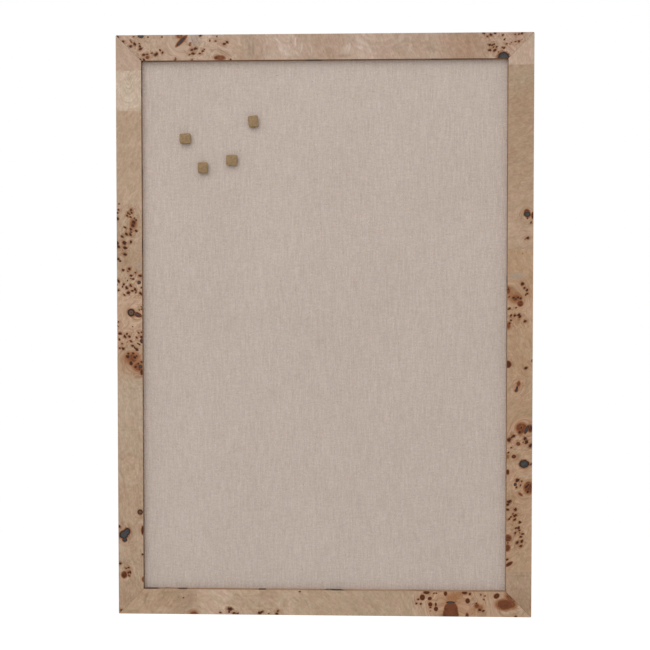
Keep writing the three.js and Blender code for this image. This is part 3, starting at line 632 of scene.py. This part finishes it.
# How a drawn line tapers to its ends, and how a swirl's growth lines show, how many metres of them it
# holds, and where they fade at its rim and heart. Noise is cut along LINE_SLICE to draw growth lines.
LINE_TAPER = 1.3
SWIRL_SHOW = 0.65
SWIRL_SPAN = 0.024
SWIRL_RIM = 0.25
SWIRL_HEART = 0.4
LINE_SLICE = {"Y": 0.4, "Z": 0.7}
VEIN_WIDTH = 0.045
VEIN_STRENGTH = 0.45
FIBRE_RELIEF = 0.4

face_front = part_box("veneer_top_1")[0].y
leaf_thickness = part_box("veneer_top_1")[1].y - face_front
face_width = top_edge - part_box("inner_band_top")[0].z


def side_length(side):
    """How long a moulding is along its outer edge."""
    return right_edge - left_edge if side in ("top", "bottom") else top_edge - bottom_edge


def run_of_leaf(side, node):
    """Where a leaf starts and ends along its moulding, from the moulding's left or top end."""
    low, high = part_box(node)
    if side in ("top", "bottom"):
        return low.x - left_edge, high.x - left_edge
    return top_edge - high.z, top_edge - low.z


def place_on_side(side, along, across):
    """X and Z of a point so far along a moulding and in from its outer edge."""
    if side == "top":
        return left_edge + along, top_edge - across
    if side == "bottom":
        return left_edge + along, bottom_edge + across
    if side == "left":
        return left_edge + across, top_edge - along
    return right_edge - across, top_edge - along


def round_corner(along, across, length):
    """Draws a point in to the frame's eased outer corner."""
    from_end = min(along, length - along)
    away = math.hypot(CORNER_RADIUS - from_end, CORNER_RADIUS - across)
    if max(from_end, across) >= CORNER_RADIUS or away <= CORNER_RADIUS:
        return along, across
    scale = CORNER_RADIUS / away
    eased = CORNER_RADIUS - (CORNER_RADIUS - from_end) * scale
    across = CORNER_RADIUS - (CORNER_RADIUS - across) * scale
    return (eased if along < length / 2 else length - eased), across


def leaf_section():
    """A leaf's cross-section, closed: each point's way in from the outer edge and back from the face."""
    cells = math.ceil(face_width / LEAF_CELL)
    eased = []
    for step in range(ARRIS_STEPS):
        angle = math.radians(90 * step / ARRIS_STEPS)
        eased.append((LEAF_ARRIS * (1 - math.cos(angle)), LEAF_ARRIS * (1 - math.sin(angle))))
    flat = face_width - 2 * LEAF_ARRIS
    face = [(LEAF_ARRIS + flat * cell / cells, 0.0) for cell in range(cells + 1)]
    far = [(face_width - across, back) for across, back in reversed(eased)]
    return [(0.0, leaf_thickness), *eased, *face, *far, (face_width, leaf_thickness), (0.0, leaf_thickness)]


def cut_leaf(side, node):
    """One leaf, leaned to the mitre at a corner and eased along its long edges, and where each of
    its points is along the moulding and in from its outer edge, in millimetres."""
    length = side_length(side)
    start, end = run_of_leaf(side, node)
    lean_start = 1.0 if start < face_width / 2 else 0.0
    lean_end = 1.0 if end > length - face_width / 2 else 0.0
    start = MITRE_GAP if lean_start else start - SEAM_GAP
    end = length - MITRE_GAP if lean_end else end + SEAM_GAP
    section = leaf_section()
    bm = bmesh.new()
    cells = math.ceil((end - start) / LEAF_CELL)
    bmesh.ops.create_grid(bm, x_segments=cells, y_segments=len(section) - 1, size=0.5)
    place = bm.verts.layers.float_vector.new("place")
    for vert in bm.verts:
        across, back = section[round((vert.co.y + 0.5) * (len(section) - 1))]
        first = start + lean_start * across
        last = end - lean_end * across
        along, across = round_corner(first + (vert.co.x + 0.5) * (last - first), across, length)
        x, z = place_on_side(side, along, across)
        vert[place] = (along / MM, across / MM, 0)
        vert.co = (x, face_front + back, z)
    bmesh.ops.remove_doubles(bm, verts=bm.verts, dist=SAME_POINT)
    ends = [edge for edge in bm.edges if edge.is_boundary]
    bmesh.ops.holes_fill(bm, edges=ends, sides=len(section))
    bmesh.ops.recalc_face_normals(bm, faces=bm.faces)
    places = np.array([vert[place][:2] for vert in bm.verts])
    return bm, places


def turned(places, turn):
    """Places seen from axes turned by so many degrees: how far each is along and across."""
    angle = math.radians(turn)
    lengthwise = places[:, 0] * math.cos(angle) + places[:, 1] * math.sin(angle)
    crosswise = places[:, 1] * math.cos(angle) - places[:, 0] * math.sin(angle)
    return lengthwise, crosswise


def reach(places, mark):
    """How far each point is from a mark's middle, with 1 on the mark's edge."""
    along, across, length, width, turn = mark
    lengthwise, crosswise = turned(places - (along, across), turn)
    return np.hypot(lengthwise / (length / 2), crosswise / (width / 2))


def nearest(places, marks):
    """The reach to the nearest of several marks, and FAR where none is near."""
    found = np.full(len(places), FAR)
    for mark in marks:
        found = np.minimum(found, reach(places, mark))
    return found


def oval_knots(side):
    """The pin knots as ovals, each drawn out about the way the burl runs on that moulding."""
    draw = np.random.default_rng(KNOT_SEEDS[side])
    shrink, run = KNOT_RUN[side]
    ovals = []
    for along, across, size in PIN_KNOTS[side]:
        stretch = draw.uniform(*KNOT_STRETCH)
        turn = run + draw.normal(0, KNOT_TURN)
        ovals.append((along, across, shrink * size * stretch, shrink * size / stretch, turn))
    return ovals


def stain_depth(places, stains):
    """How dark the stains are at each point. Those with a crisp edge are paler inside it."""
    depth = np.zeros(len(places))
    for *mark, dark, soft in stains:
        away = reach(places, mark)
        inside = np.clip((1 + soft - away) / (2 * soft), 0, 1)
        if soft < CRISP:
            inside = inside * (CRISP_HEART + CRISP_RISE * np.minimum(away, 1) ** 2)
        depth = np.maximum(depth, dark * inside)
    return depth


def crowding(places, marks, spread):
    """How closely the knots stand about each point, from 0 to 1."""
    crowd = np.zeros(len(places))
    for along, across, length, width, _ in marks:
        away = ((places - (along, across)) ** 2).sum(axis=1)
        crowd += CROWD_SHARE * length * np.exp(-away / (2 * spread ** 2))
    return np.clip(crowd, 0, 1)


def drawn_lines(places, lines):
    """How much lighter or darker the drawn lines of figure make each point."""
    light = np.zeros(len(places))
    for along, across, length, width, turn, bend, change in lines:
        lengthwise, crosswise = turned(places - (along, across), turn)
        lengthwise = lengthwise / (length / 2)
        crosswise = (crosswise - bend * (1 - lengthwise ** 2)) / (width / 2)
        light += change * np.clip(LINE_TAPER * (1 - lengthwise ** 2), 0, 1) * np.exp(-crosswise ** 2)
    return np.clip(light, -1, 1)


def sapwood_lines(places, side):
    """The arched growth lines' own coordinate in metres, and how far each point lies in sapwood."""
    start, end = SAPWOOD.get(side, NO_SAPWOOD)
    flattest, steepest = SAP_ARCHES
    along = places[:, 0]
    half_face = face_width / MM / 2
    crosswise = (places[:, 1] - half_face) / half_face
    run = np.clip((along - start) / (end - start), 0, 1)
    arch = along + (flattest + steepest * (1 - run) ** 2) * crosswise ** 2
    edge = end + SAP_WAVE * np.sin(places[:, 1] / SAP_WAVE_RUN) - SAP_BOW * crosswise ** 2
    show = np.clip((edge - along) / SAP_SOFT, 0, 1) * (along > start)
    return arch * MM, show


def growth_lines(places, side):
    """The growth lines' own coordinate in metres, and how strongly they show at each point."""
    arch, show = sapwood_lines(places, side)
    for swirl in SWIRLS[side]:
        away = reach(places, swirl)
        near = SWIRL_SHOW * np.clip((1 - away) / SWIRL_RIM, 0, 1) * np.clip(away / SWIRL_HEART, 0, 1)
        arch = np.where(near > show, away * SWIRL_SPAN, arch)
        show = np.maximum(show, near)
    return arch, show


def grain_map(places, marks, turn, leaf_number):
    """The grain's own coordinates in metres: turned, bent round the knots, and moved for each leaf."""
    bent = places.copy()
    for along, across, length, width, _ in marks:
        away = places - (along, across)
        spread = BEND_REACH * max(length, width)
        near = np.exp(-(away ** 2).sum(axis=1) / (2 * spread ** 2))
        bent -= away * (BEND_SHARE * near)[:, None]
    lengthwise, crosswise = turned(bent, turn)
    return np.column_stack((lengthwise * MM + leaf_number, crosswise * MM))


def leaf_tint(places, side, tint):
    """The leaf's tint at each point: lighter, darker and warmer in the moulding's bands, partly painted
    sheen.
    """
    level = np.ones(len(places))
    warmth = np.zeros(len(places))
    # The paler bands are partly painted sheen, standing for the veneer's chatoyance.
    for middle, half_width, change, warmer in TONE_AND_SHEEN_BANDS[side]:
        near = np.exp(-((places[:, 0] - middle) / half_width) ** 2)
        level += change * near
        warmth += warmer * near
    cast = 1 - np.outer(warmth, WARM_LOSS)
    sap = sapwood_lines(places, side)[1][:, None]
    levels = level[:, None] ** np.array(LEVEL_POWERS)
    return levels * shade(*tint)[:3] * cast * (1 + sap * (np.array(SAP_CAST) - 1))


def burl_veneer():
    """Satin burl: mottled figure and fibres along the grain, with knots, stains and filler."""
    finish, grain = new_finish("burl_veneer", "grain")

    def marked(name, output="Fac"):
        """One of the leaf's painted values."""
        return lay(finish.node_tree, "Attribute", {}, attribute_name=name)[output]

    def tinted(wood, cast, strength=1.0):
        """The wood made lighter or darker, or given a cast."""
        return mix(strength, wood, cast, "MULTIPLY")

    def inlaid(wood, value, layers):
        """The wood with a mark's colours laid in, each as value goes from its start to where it is full."""
        for start, full, strength, colour in layers:
            wood = mix(fade(value, start, full, 0.0, strength), wood, colour)
        return wood

    def lines_round(name, repeats, detail, distortion=0.0):
        """Noise that changes only as one painted value does, so that it draws lines."""
        place = lay(finish.node_tree, "CombineXYZ", {"X": marked(name), **LINE_SLICE})[0]
        return noise(place, (repeats, 1, 1), detail, distortion)

    cloud = noise(grain, (150, 210, 1), 4.0, 1.0)
    broad = noise(grain, (40, 90, 1), 3.0, 1.2)
    streak = noise(grain, (34, 560, 1), 4.0, 0.6)
    fibre = noise(grain, (500, 2400, 1), 2.0)
    fleck = noise(grain, (260, 620, 1), 3.0, 0.5)
    cast = noise(grain, (60, 110, 1), 3.0, 0.8)
    crumble = noise(grain, (560, 560, 1), 3.0)
    winding = noise(grain, (50, 190, 1), 2.0, 1.0)
    burl = marked("burl")

    plain = fade(cloud, 0.25, 0.75, 0.89, 1.11)
    swirled = uneven(cloud, 0.82, 1.18)
    striped = fade(streak, 0.25, 0.75, 0.93, 1.07)
    level = product(
        fade(broad, 0.25, 0.75, 0.93, 1.07),
        mix(burl, plain, swirled),
        mix(marked("stripe"), WHITE, striped),
        fade(fleck, 0.25, 0.75, 0.93, 1.07),
        fade(fibre, 0.2, 0.8, 0.94, 1.06),
    )
    wood = tinted(marked("tint", "Color"), level)
    wood = tinted(wood, CREAM_CAST, fade(level, 1.0, 1.2))
    wood = tinted(wood, BROWN_CAST, fade(level, 1.0, 0.8))
    wood = tinted(wood, mix(fade(cast, 0.35, 0.65), PINK_CAST, GREEN_CAST))
    wood = tinted(wood, PALE_LINE, fade(marked("line"), 0.0, 1.0))
    wood = tinted(wood, DARK_LINE, fade(marked("line"), 0.0, -1.0))

    growth = fade(lines_round("arch", 300, 3.0, 0.6), 0.35, 0.65, 0.88, 1.09)
    wood = tinted(wood, mix(marked("sap"), WHITE, growth))
    wood = inlaid(wood, marked("bloom"), BLOOM_LAYERS)
    wood = tinted(wood, HALO_CAST, marked("halo"))
    thin = sum_of("ABSOLUTE", sum_of("SUBTRACT", winding, 0.5))
    vein = product(fade(thin, VEIN_WIDTH, 0.0, 0.0, VEIN_STRENGTH), burl)
    wood = mix(vein, wood, VEIN)

    stain = product(
        marked("stain"),
        uneven(crumble, 0.89, 1.11),
        uneven(fleck, 0.89, 1.11),
        uneven(lines_round("heart", 5, 2.0), 0.93, 1.07),
    )
    ring = product(marked("ring"), uneven(crumble, 0.92, 1.08))
    knot = product(marked("knot"), uneven(crumble, 0.72, 1.32))
    filled = product(marked("filled"), uneven(crumble, 0.9, 1.1))
    wood = inlaid(wood, stain, STAIN_LAYERS)
    wood = inlaid(wood, ring, RING_LAYERS)
    wood = inlaid(wood, knot, KNOT_LAYERS)
    wood = inlaid(wood, filled, FILLER_LAYERS)
    slate = tinted(FILLER, uneven(crumble, 0.75, 1.3))
    wood = mix(fade(filled, *FILLER_FACE), wood, slate)

    hollow = fade(knot, *KNOT_LAYERS[-1][:2])
    height = sum_of("SUBTRACT", product(fibre, FIBRE_RELIEF), hollow)
    return finished(finish, wood, uneven(streak, 0.48, 0.58), height, depth=0.00006, gloss=0.16)


def make_piece(name, bm, finish, body):
    """Turns a bmesh into a piece that rides on a body and takes its finish from a slot."""
    piece = make_object(name, bm, finish)
    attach(piece, body)
    return piece


def paint_leaf(mesh, side, places, look, leaf_number):
    """Writes a leaf's tint, marks and grain into its mesh."""
    tint, turn, stripe = look
    knots = oval_knots(side)
    filled = FILLED_KNOTS[side]
    rings = RING_KNOTS.get(side, [])
    stained = [stain[:5] for stain in STAINS[side]]
    marks = knots + filled + rings + stained
    arch, sap = growth_lines(places, side)
    values = {
        "knot": nearest(places, knots),
        "filled": nearest(places, filled),
        "ring": nearest(places, rings),
        "bloom": nearest(places, BLOOMS[side]),
        "stain": stain_depth(places, STAINS[side]),
        "heart": nearest(places, stained),
        "halo": crowding(places, marks, HALO_REACH),
        "burl": crowding(places, marks, BURL_REACH),
        "line": drawn_lines(places, FIGURE_LINES[side]),
        "arch": arch,
        "sap": sap,
        "stripe": np.full(len(places), stripe),
    }
    for name, value in values.items():
        attribute = mesh.attributes.new(name, "FLOAT", "POINT")
        attribute.data.foreach_set("value", value.astype(np.float32))
    colours = np.ones((len(places), 4), np.float32)
    colours[:, :3] = leaf_tint(places, side, tint)
    mesh.attributes.new("tint", "FLOAT_COLOR", "POINT").data.foreach_set("color", colours.ravel())
    corners = np.zeros(len(mesh.loops), np.int32)
    mesh.loops.foreach_get("vertex_index", corners)
    grain = grain_map(places, marks, turn, leaf_number)[corners].astype(np.float32)
    mesh.uv_layers.new(name="grain").data.foreach_set("uv", grain.ravel())


def lay_leaves():
    """Lays every leaf on its moulding."""
    finish = burl_veneer()
    for leaf_number, (leaf, look) in enumerate(LEAVES.items()):
        side = leaf.split("_")[0]
        bm, places = cut_leaf(side, f"veneer_{leaf}")
        piece = make_piece(f"burl_leaf_{leaf}", bm, finish, "board")
        paint_leaf(piece.data, side, places, look, leaf_number)
        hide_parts(f"veneer_{leaf}")


lay_leaves()


# The corner nails. V-shaped strips of spring steel driven across each mitre from the back, so that
# only their upper edges show, sunk just under the wood.
STEEL_BRIGHT = shade(176, 176, 172)
STEEL_DULL = shade(112, 110, 106)


def worn_metal(name, bright, dull, roughness_low, roughness_high):
    """Plated or bare metal with drawn scratches, dull patches and small pits."""
    finish, coords = new_finish(name)
    patch = noise(coords, (140, 140, 140), 4.0, 0.5)
    scratch = noise(coords, (300, 5200, 900), 2.0)
    pit = noise(coords, (2400, 2400, 2400), 2.0)
    metal = mix(fade(patch, 0.35, 0.65), dull, bright)
    metal = mix(fade(scratch, 0.6, 0.75, 0.0, 0.35), metal, dull)
    roughness = uneven(patch, roughness_high, roughness_low)
    return finished(finish, metal, roughness, pit, depth=0.00003, metal=1.0)


spring_steel = worn_metal("spring_steel", STEEL_BRIGHT, STEEL_DULL, 0.32, 0.55)
corners = ("top_right", "bottom_right", "bottom_left", "top_left")
dress([f"corner_nail_{corner}_{place}" for corner in corners for place in ("outer", "inner")], spring_steel)


# The cork sheet and its backing. Granulated cork that the pins go into, glued to a sheet of brown
# hardboard whose rough back shows inside the hem.
CORK_PALE = shade(186, 146, 100)
CORK_DARK = shade(112, 76, 48)
HARDBOARD_PALE = shade(150, 116, 84)
HARDBOARD_DARK = shade(104, 76, 52)


def granulated_cork():
    """Pressed cork granules with dark bark between some of them."""
    finish, coords = new_finish("granulated_cork")
    granules = lay(finish.node_tree, "TexVoronoi", {"Vector": coords, "Scale": 420.0})["Distance"]
    bark = noise(coords, (700, 700, 700), 3.0)
    cork = mix(fade(granules, 0.2, 0.8), CORK_PALE, CORK_DARK)
    cork = mix(fade(bark, 0.62, 0.7, 0.0, 0.8), cork, CORK_DARK)
    return finished(finish, cork, uneven(bark, 0.82, 0.95), granules, depth=0.0003)


def rough_hardboard():
    """Hardboard's wire-marked back, in short matted fibres."""
    finish, coords = new_finish("rough_hardboard")
    blotch = noise(coords, (70, 70, 70), 3.0)
    fibre = noise(coords, (1500, 1500, 420), 3.0, 1.5)
    mesh_mark = lay(finish.node_tree, "TexVoronoi", {"Vector": coords, "Scale": 700.0})["Distance"]
    board = mix(uneven(fibre), HARDBOARD_DARK, HARDBOARD_PALE)
    board = mix(fade(blotch, 0.35, 0.65, 0.0, 0.3), board, HARDBOARD_DARK)
    height = sum_of("ADD", fibre, mesh_mark)
    return finished(finish, board, uneven(fibre, 0.78, 0.92), height, depth=0.00015)


dress(["cork_sheet"], granulated_cork())
dress(["backing_board"], rough_hardboard())


# The linen cover. One piece of natural linen drawn tight over the cork, folded round the edges and
# glued to the backing as a hem. Its corners are cut away so that the folds lie flat.
LINEN_PALE = shade(210, 195, 184)
LINEN_DARK = shade(177, 161, 150)
LINEN_FLECK = shade(128, 98, 78)
WARM_FIBRE = (1.07, 0.99, 0.86, 1.0)
COOL_FIBRE = (0.95, 0.98, 1.12, 1.0)
# The threads: their pitch, how far apart in the noise two neighbours are, how quickly the tone changes
# along the warp and the weft, and how much each adds to the cloth's tone.
THREAD_PITCH = 0.0009
THREAD_STRIDE = 17.31
WARP_RUN = 46
WEFT_RUN = 80
WARP_SHARE = 0.32
WEFT_SHARE = 0.17
CROSSING_SHARE = 0.44
CLOUD_SHARE = 0.06
DRIFT_SHARE = 0.15
WEAVE_RELIEF = 0.5
# The hem and its creases, and how near is taken as touching, with the angle in degrees taken as flat.
HEM_WIDTH = 0.028
LINEN_EASING = 0.0006
EASING_STEPS = 3
CREASE_WIDTH = 0.0012
CREASE_DEPTH = 0.0004
TOUCHING = 1e-6
NEAR_EDGE = 1e-5
FLAT_ANGLE = 1


def woven_linen():
    """Plain-woven linen: threads both ways, each with its own tone along it, and a few flecks."""
    finish, coords = new_finish("woven_linen")
    axes = lay(finish.node_tree, "SeparateXYZ", {0: coords})

    def thread_number(place):
        """Which thread a place falls on."""
        return sum_of("FLOOR", sum_of("DIVIDE", place, THREAD_PITCH))

    def thread_swell(place):
        """How a thread rises to its middle and falls to its sides."""
        return sum_of("SINE", product(place, 2 * math.pi / THREAD_PITCH))

    def thread_tone(number, along, run):
        """Each thread's own tone, which changes along it."""
        apart = product(number, THREAD_STRIDE)
        place = lay(finish.node_tree, "CombineXYZ", {"X": apart, "Y": along, "Z": run})[0]
        return noise(place, (1, run, 1), 4.0)

    warp_number = thread_number(axes["X"])
    weft_number = thread_number(axes["Z"])
    warp = thread_tone(warp_number, axes["Z"], WARP_RUN)
    weft = thread_tone(weft_number, axes["X"], WEFT_RUN)
    crossing = thread_tone(warp_number, weft_number, THREAD_STRIDE)
    cloud = noise(coords, (9, 9, 7), 1.0)
    drift = noise(coords, (7, 7, 5), 1.0)
    weave = product(thread_swell(axes["X"]), thread_swell(axes["Z"]))
    fibre = noise(coords, (430, 430, 380), 1.0)
    fleck = noise(coords, (700, 700, 560), 1.0)
    shares = ((warp, WARP_SHARE), (weft, WEFT_SHARE), (crossing, CROSSING_SHARE), (cloud, CLOUD_SHARE))
    tone = 0.0
    for threads, share in shares:
        tone = sum_of("ADD", product(threads, share), tone)
    cloth = mix(uneven(tone), LINEN_DARK, LINEN_PALE)
    cloth = mix(1.0, cloth, fade(weave, -1.0, 1.0, 0.95, 1.05), "MULTIPLY")
    cast = mix(fade(drift, 0.35, 0.65), PINK_CAST, GREEN_CAST)
    cloth = mix(DRIFT_SHARE, cloth, cast, "MULTIPLY")
    cloth = mix(fade(fibre, 0.62, 0.82), cloth, COOL_FIBRE, "MULTIPLY")
    cloth = mix(fade(fibre, 0.36, 0.18), cloth, WARM_FIBRE, "MULTIPLY")
    cloth = mix(fade(fleck, 0.70, 0.82, 0.0, 0.5), cloth, LINEN_FLECK)
    height = sum_of("ADD", product(weave, WEAVE_RELIEF), warp)
    return finished(finish, cloth, uneven(tone, 0.88, 0.96), height, depth=0.00012, gloss=0.2, sheen=0.12)


def ease(bm, edges, offset, steps):
    """Rounds some edges off."""
    bmesh.ops.bevel(
        bm, geom=edges, offset=offset, affect="EDGES", segments=steps, profile=0.5, material=-1
    )


def crease_hem(bm, low, high):
    """Presses a shallow groove into the hem along each corner's mitre, where two folds meet."""

    def on_back(part):
        """Whether a face lies flat on the hem's back."""
        return all(abs(vert.co.y - high.y) < TOUCHING for vert in part.verts)

    for x, right in ((low.x, -1), (high.x, 1)):
        for z, up in ((low.z, -1), (high.z, 1)):
            corner = Vector((x, high.y, z))
            across = Vector((up, 0, -right)).normalized()
            for shift in (-CREASE_WIDTH / 2, CREASE_WIDTH / 2, 0):
                hem = [face for face in bm.faces if on_back(face)]
                edges = {edge for face in hem for edge in face.edges}
                verts = {vert for face in hem for vert in face.verts}
                place = corner + shift * across
                geometry = [*hem, *edges, *verts]
                bmesh.ops.bisect_plane(bm, geom=geometry, dist=TOUCHING, plane_co=place, plane_no=across)
            for vert in {vert for face in bm.faces if on_back(face) for vert in face.verts}:
                away = vert.co - corner
                if abs(away.dot(across)) < TOUCHING and away.length < 2 * HEM_WIDTH:
                    vert.co.y -= CREASE_DEPTH


def draw_linen():
    """The folded cover, with its outer edges eased where the cloth turns."""
    solid = nodes["linen_cover"]
    bm = bmesh.new()
    bm.from_mesh(solid.data)
    bmesh.ops.remove_doubles(bm, verts=bm.verts, dist=TOUCHING)
    bmesh.ops.dissolve_limit(bm, angle_limit=math.radians(FLAT_ANGLE), verts=bm.verts, edges=bm.edges)
    low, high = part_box("linen_cover")

    def on_outside(edge):
        """Whether an edge is one of the twelve that bound the cover."""
        middle = (edge.verts[0].co + edge.verts[1].co) / 2
        near = [min(abs(middle[i] - low[i]), abs(middle[i] - high[i])) < NEAR_EDGE for i in range(3)]
        return sum(near) >= 2

    folds = [edge for edge in bm.edges if on_outside(edge)]
    ease(bm, folds, LINEN_EASING, EASING_STEPS)
    crease_hem(bm, low, high)
    cover = make_piece("linen_panel_cover", bm, woven_linen(), "board")
    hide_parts("linen_cover")


draw_linen()


# The panel points. Flat steel darts pressed into the rabbet's wall that hold the panel from behind.
# They are stamped from thin bright sheet.
POINT_BRIGHT = shade(188, 186, 180)
POINT_DULL = shade(128, 124, 118)
sides = ("top", "right", "bottom", "left")
point_steel = worn_metal("point_steel", POINT_BRIGHT, POINT_DULL, 0.28, 0.5)
dress([f"panel_point_{side}_{number}" for side in sides for number in (1, 2)], point_steel)


# The ring hangers. A strip of zinc-plated steel folded round a D-shaped wire ring, fixed to the back
# of each stile by one cross-headed screw.
ZINC_BRIGHT = shade(196, 192, 178)
ZINC_DULL = shade(142, 138, 126)
SCREW_BRIGHT = shade(182, 178, 168)
SCREW_DULL = shade(120, 116, 108)
zinc_plate = worn_metal("zinc_plate", ZINC_BRIGHT, ZINC_DULL, 0.3, 0.5)
screw_steel = worn_metal("screw_steel", SCREW_BRIGHT, SCREW_DULL, 0.28, 0.48)
for side in ("left", "right"):
    dress([f"hanger_strap_{side}", f"hanger_ring_{side}"], zinc_plate)
    dress([f"hanger_screw_{side}"], screw_steel)


# The wall bumpers. Round dark rubber feet stuck to the lower corners of the back.
# They keep the frame off the wall.
RUBBER_DARK = shade(46, 44, 42)
RUBBER_PALE = shade(74, 71, 68)


def bumper_rubber():
    """Moulded rubber with a fine matt skin and a little dust."""
    finish, coords = new_finish("bumper_rubber")
    dust = noise(coords, (260, 260, 260), 4.0)
    skin = noise(coords, (4200, 4200, 4200), 2.0)
    rubber = mix(fade(dust, 0.4, 0.75), RUBBER_DARK, RUBBER_PALE)
    return finished(finish, rubber, uneven(dust, 0.62, 0.85), skin, depth=0.00004)


dress(["wall_bumper_left", "wall_bumper_right"], bumper_rubber())


# The push pins. Square heads of antiqued brass with rounded corners, a little narrower at the back,
# each cast on a steel shank that goes through the linen into the cork.
BRASS_PALE = shade(138, 114, 83)
BRASS_MID = shade(133, 109, 78)
BRASS_DARK = shade(126, 103, 73)
HEAD_ROUNDING = 0.0018
HEAD_ROUNDING_STEPS = 6
HEAD_EASING = 0.0006
HEAD_EASING_STEPS = 4
HEAD_BACK_INSET = 0.0007
# Each head's width, height and turn in degrees.
PIN_HEADS = [(0.0138, 0.0124, 2), (0.0123, 0.0140, 6), (0.0126, 0.0133, 1), (0.0140, 0.0129, 0)]


def antique_brass():
    """Cast brass, browned and rubbed back, so that it is mottled and finely specked."""
    finish, coords = new_finish("antique_brass")
    patina = noise(coords, (420, 420, 420), 4.0, 0.8)
    speck = noise(coords, (1500, 1500, 1500), 2.0)
    brass = mix(fade(patina, 0.3, 0.55), BRASS_DARK, BRASS_MID)
    brass = mix(fade(patina, 0.52, 0.75), brass, BRASS_PALE)
    brass = mix(fade(speck, 0.62, 0.72, 0.0, 0.35), brass, BRASS_DARK)
    height = sum_of("ADD", patina, speck)
    return finished(finish, brass, uneven(patina, 0.66, 0.5), height, depth=0.000014, metal=0.6)


def cast_head(number, finish):
    """One pin head: a block with rounded corners and eased rims, tapered to its back."""
    width, height, turn = PIN_HEADS[number - 1]
    low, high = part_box(f"pin_head_{number}")
    depth = high.y - low.y
    bm = bmesh.new()
    bmesh.ops.create_cube(bm, size=1.0)
    bmesh.ops.scale(bm, verts=bm.verts, vec=(width, depth, height))

    def runs_back(edge):
        """Whether an edge goes from the head's face to its back."""
        return abs(edge.verts[0].co.y - edge.verts[1].co.y) > depth / 2

    ease(bm, [edge for edge in bm.edges if runs_back(edge)], HEAD_ROUNDING, HEAD_ROUNDING_STEPS)
    ease(bm, [edge for edge in bm.edges if not runs_back(edge)], HEAD_EASING, HEAD_EASING_STEPS)
    for vert in bm.verts:
        back_share = vert.co.y / depth + 0.5
        vert.co.x *= 1 - 2 * HEAD_BACK_INSET * back_share / width
        vert.co.z *= 1 - 2 * HEAD_BACK_INSET * back_share / height
    place = Matrix.Translation((low + high) / 2) @ Matrix.Rotation(-math.radians(turn), 4, "Y")
    bmesh.ops.transform(bm, matrix=place, verts=bm.verts)
    for face in bm.faces:
        face.smooth = True
    head = make_piece(f"brass_head_{number}", bm, finish, f"pin_{number}")
    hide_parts(f"pin_head_{number}")


pin_brass = antique_brass()
for number in range(1, len(PIN_HEADS) + 1):
    cast_head(number, pin_brass)
    dress([f"pin_shank_{number}"], spring_steel)
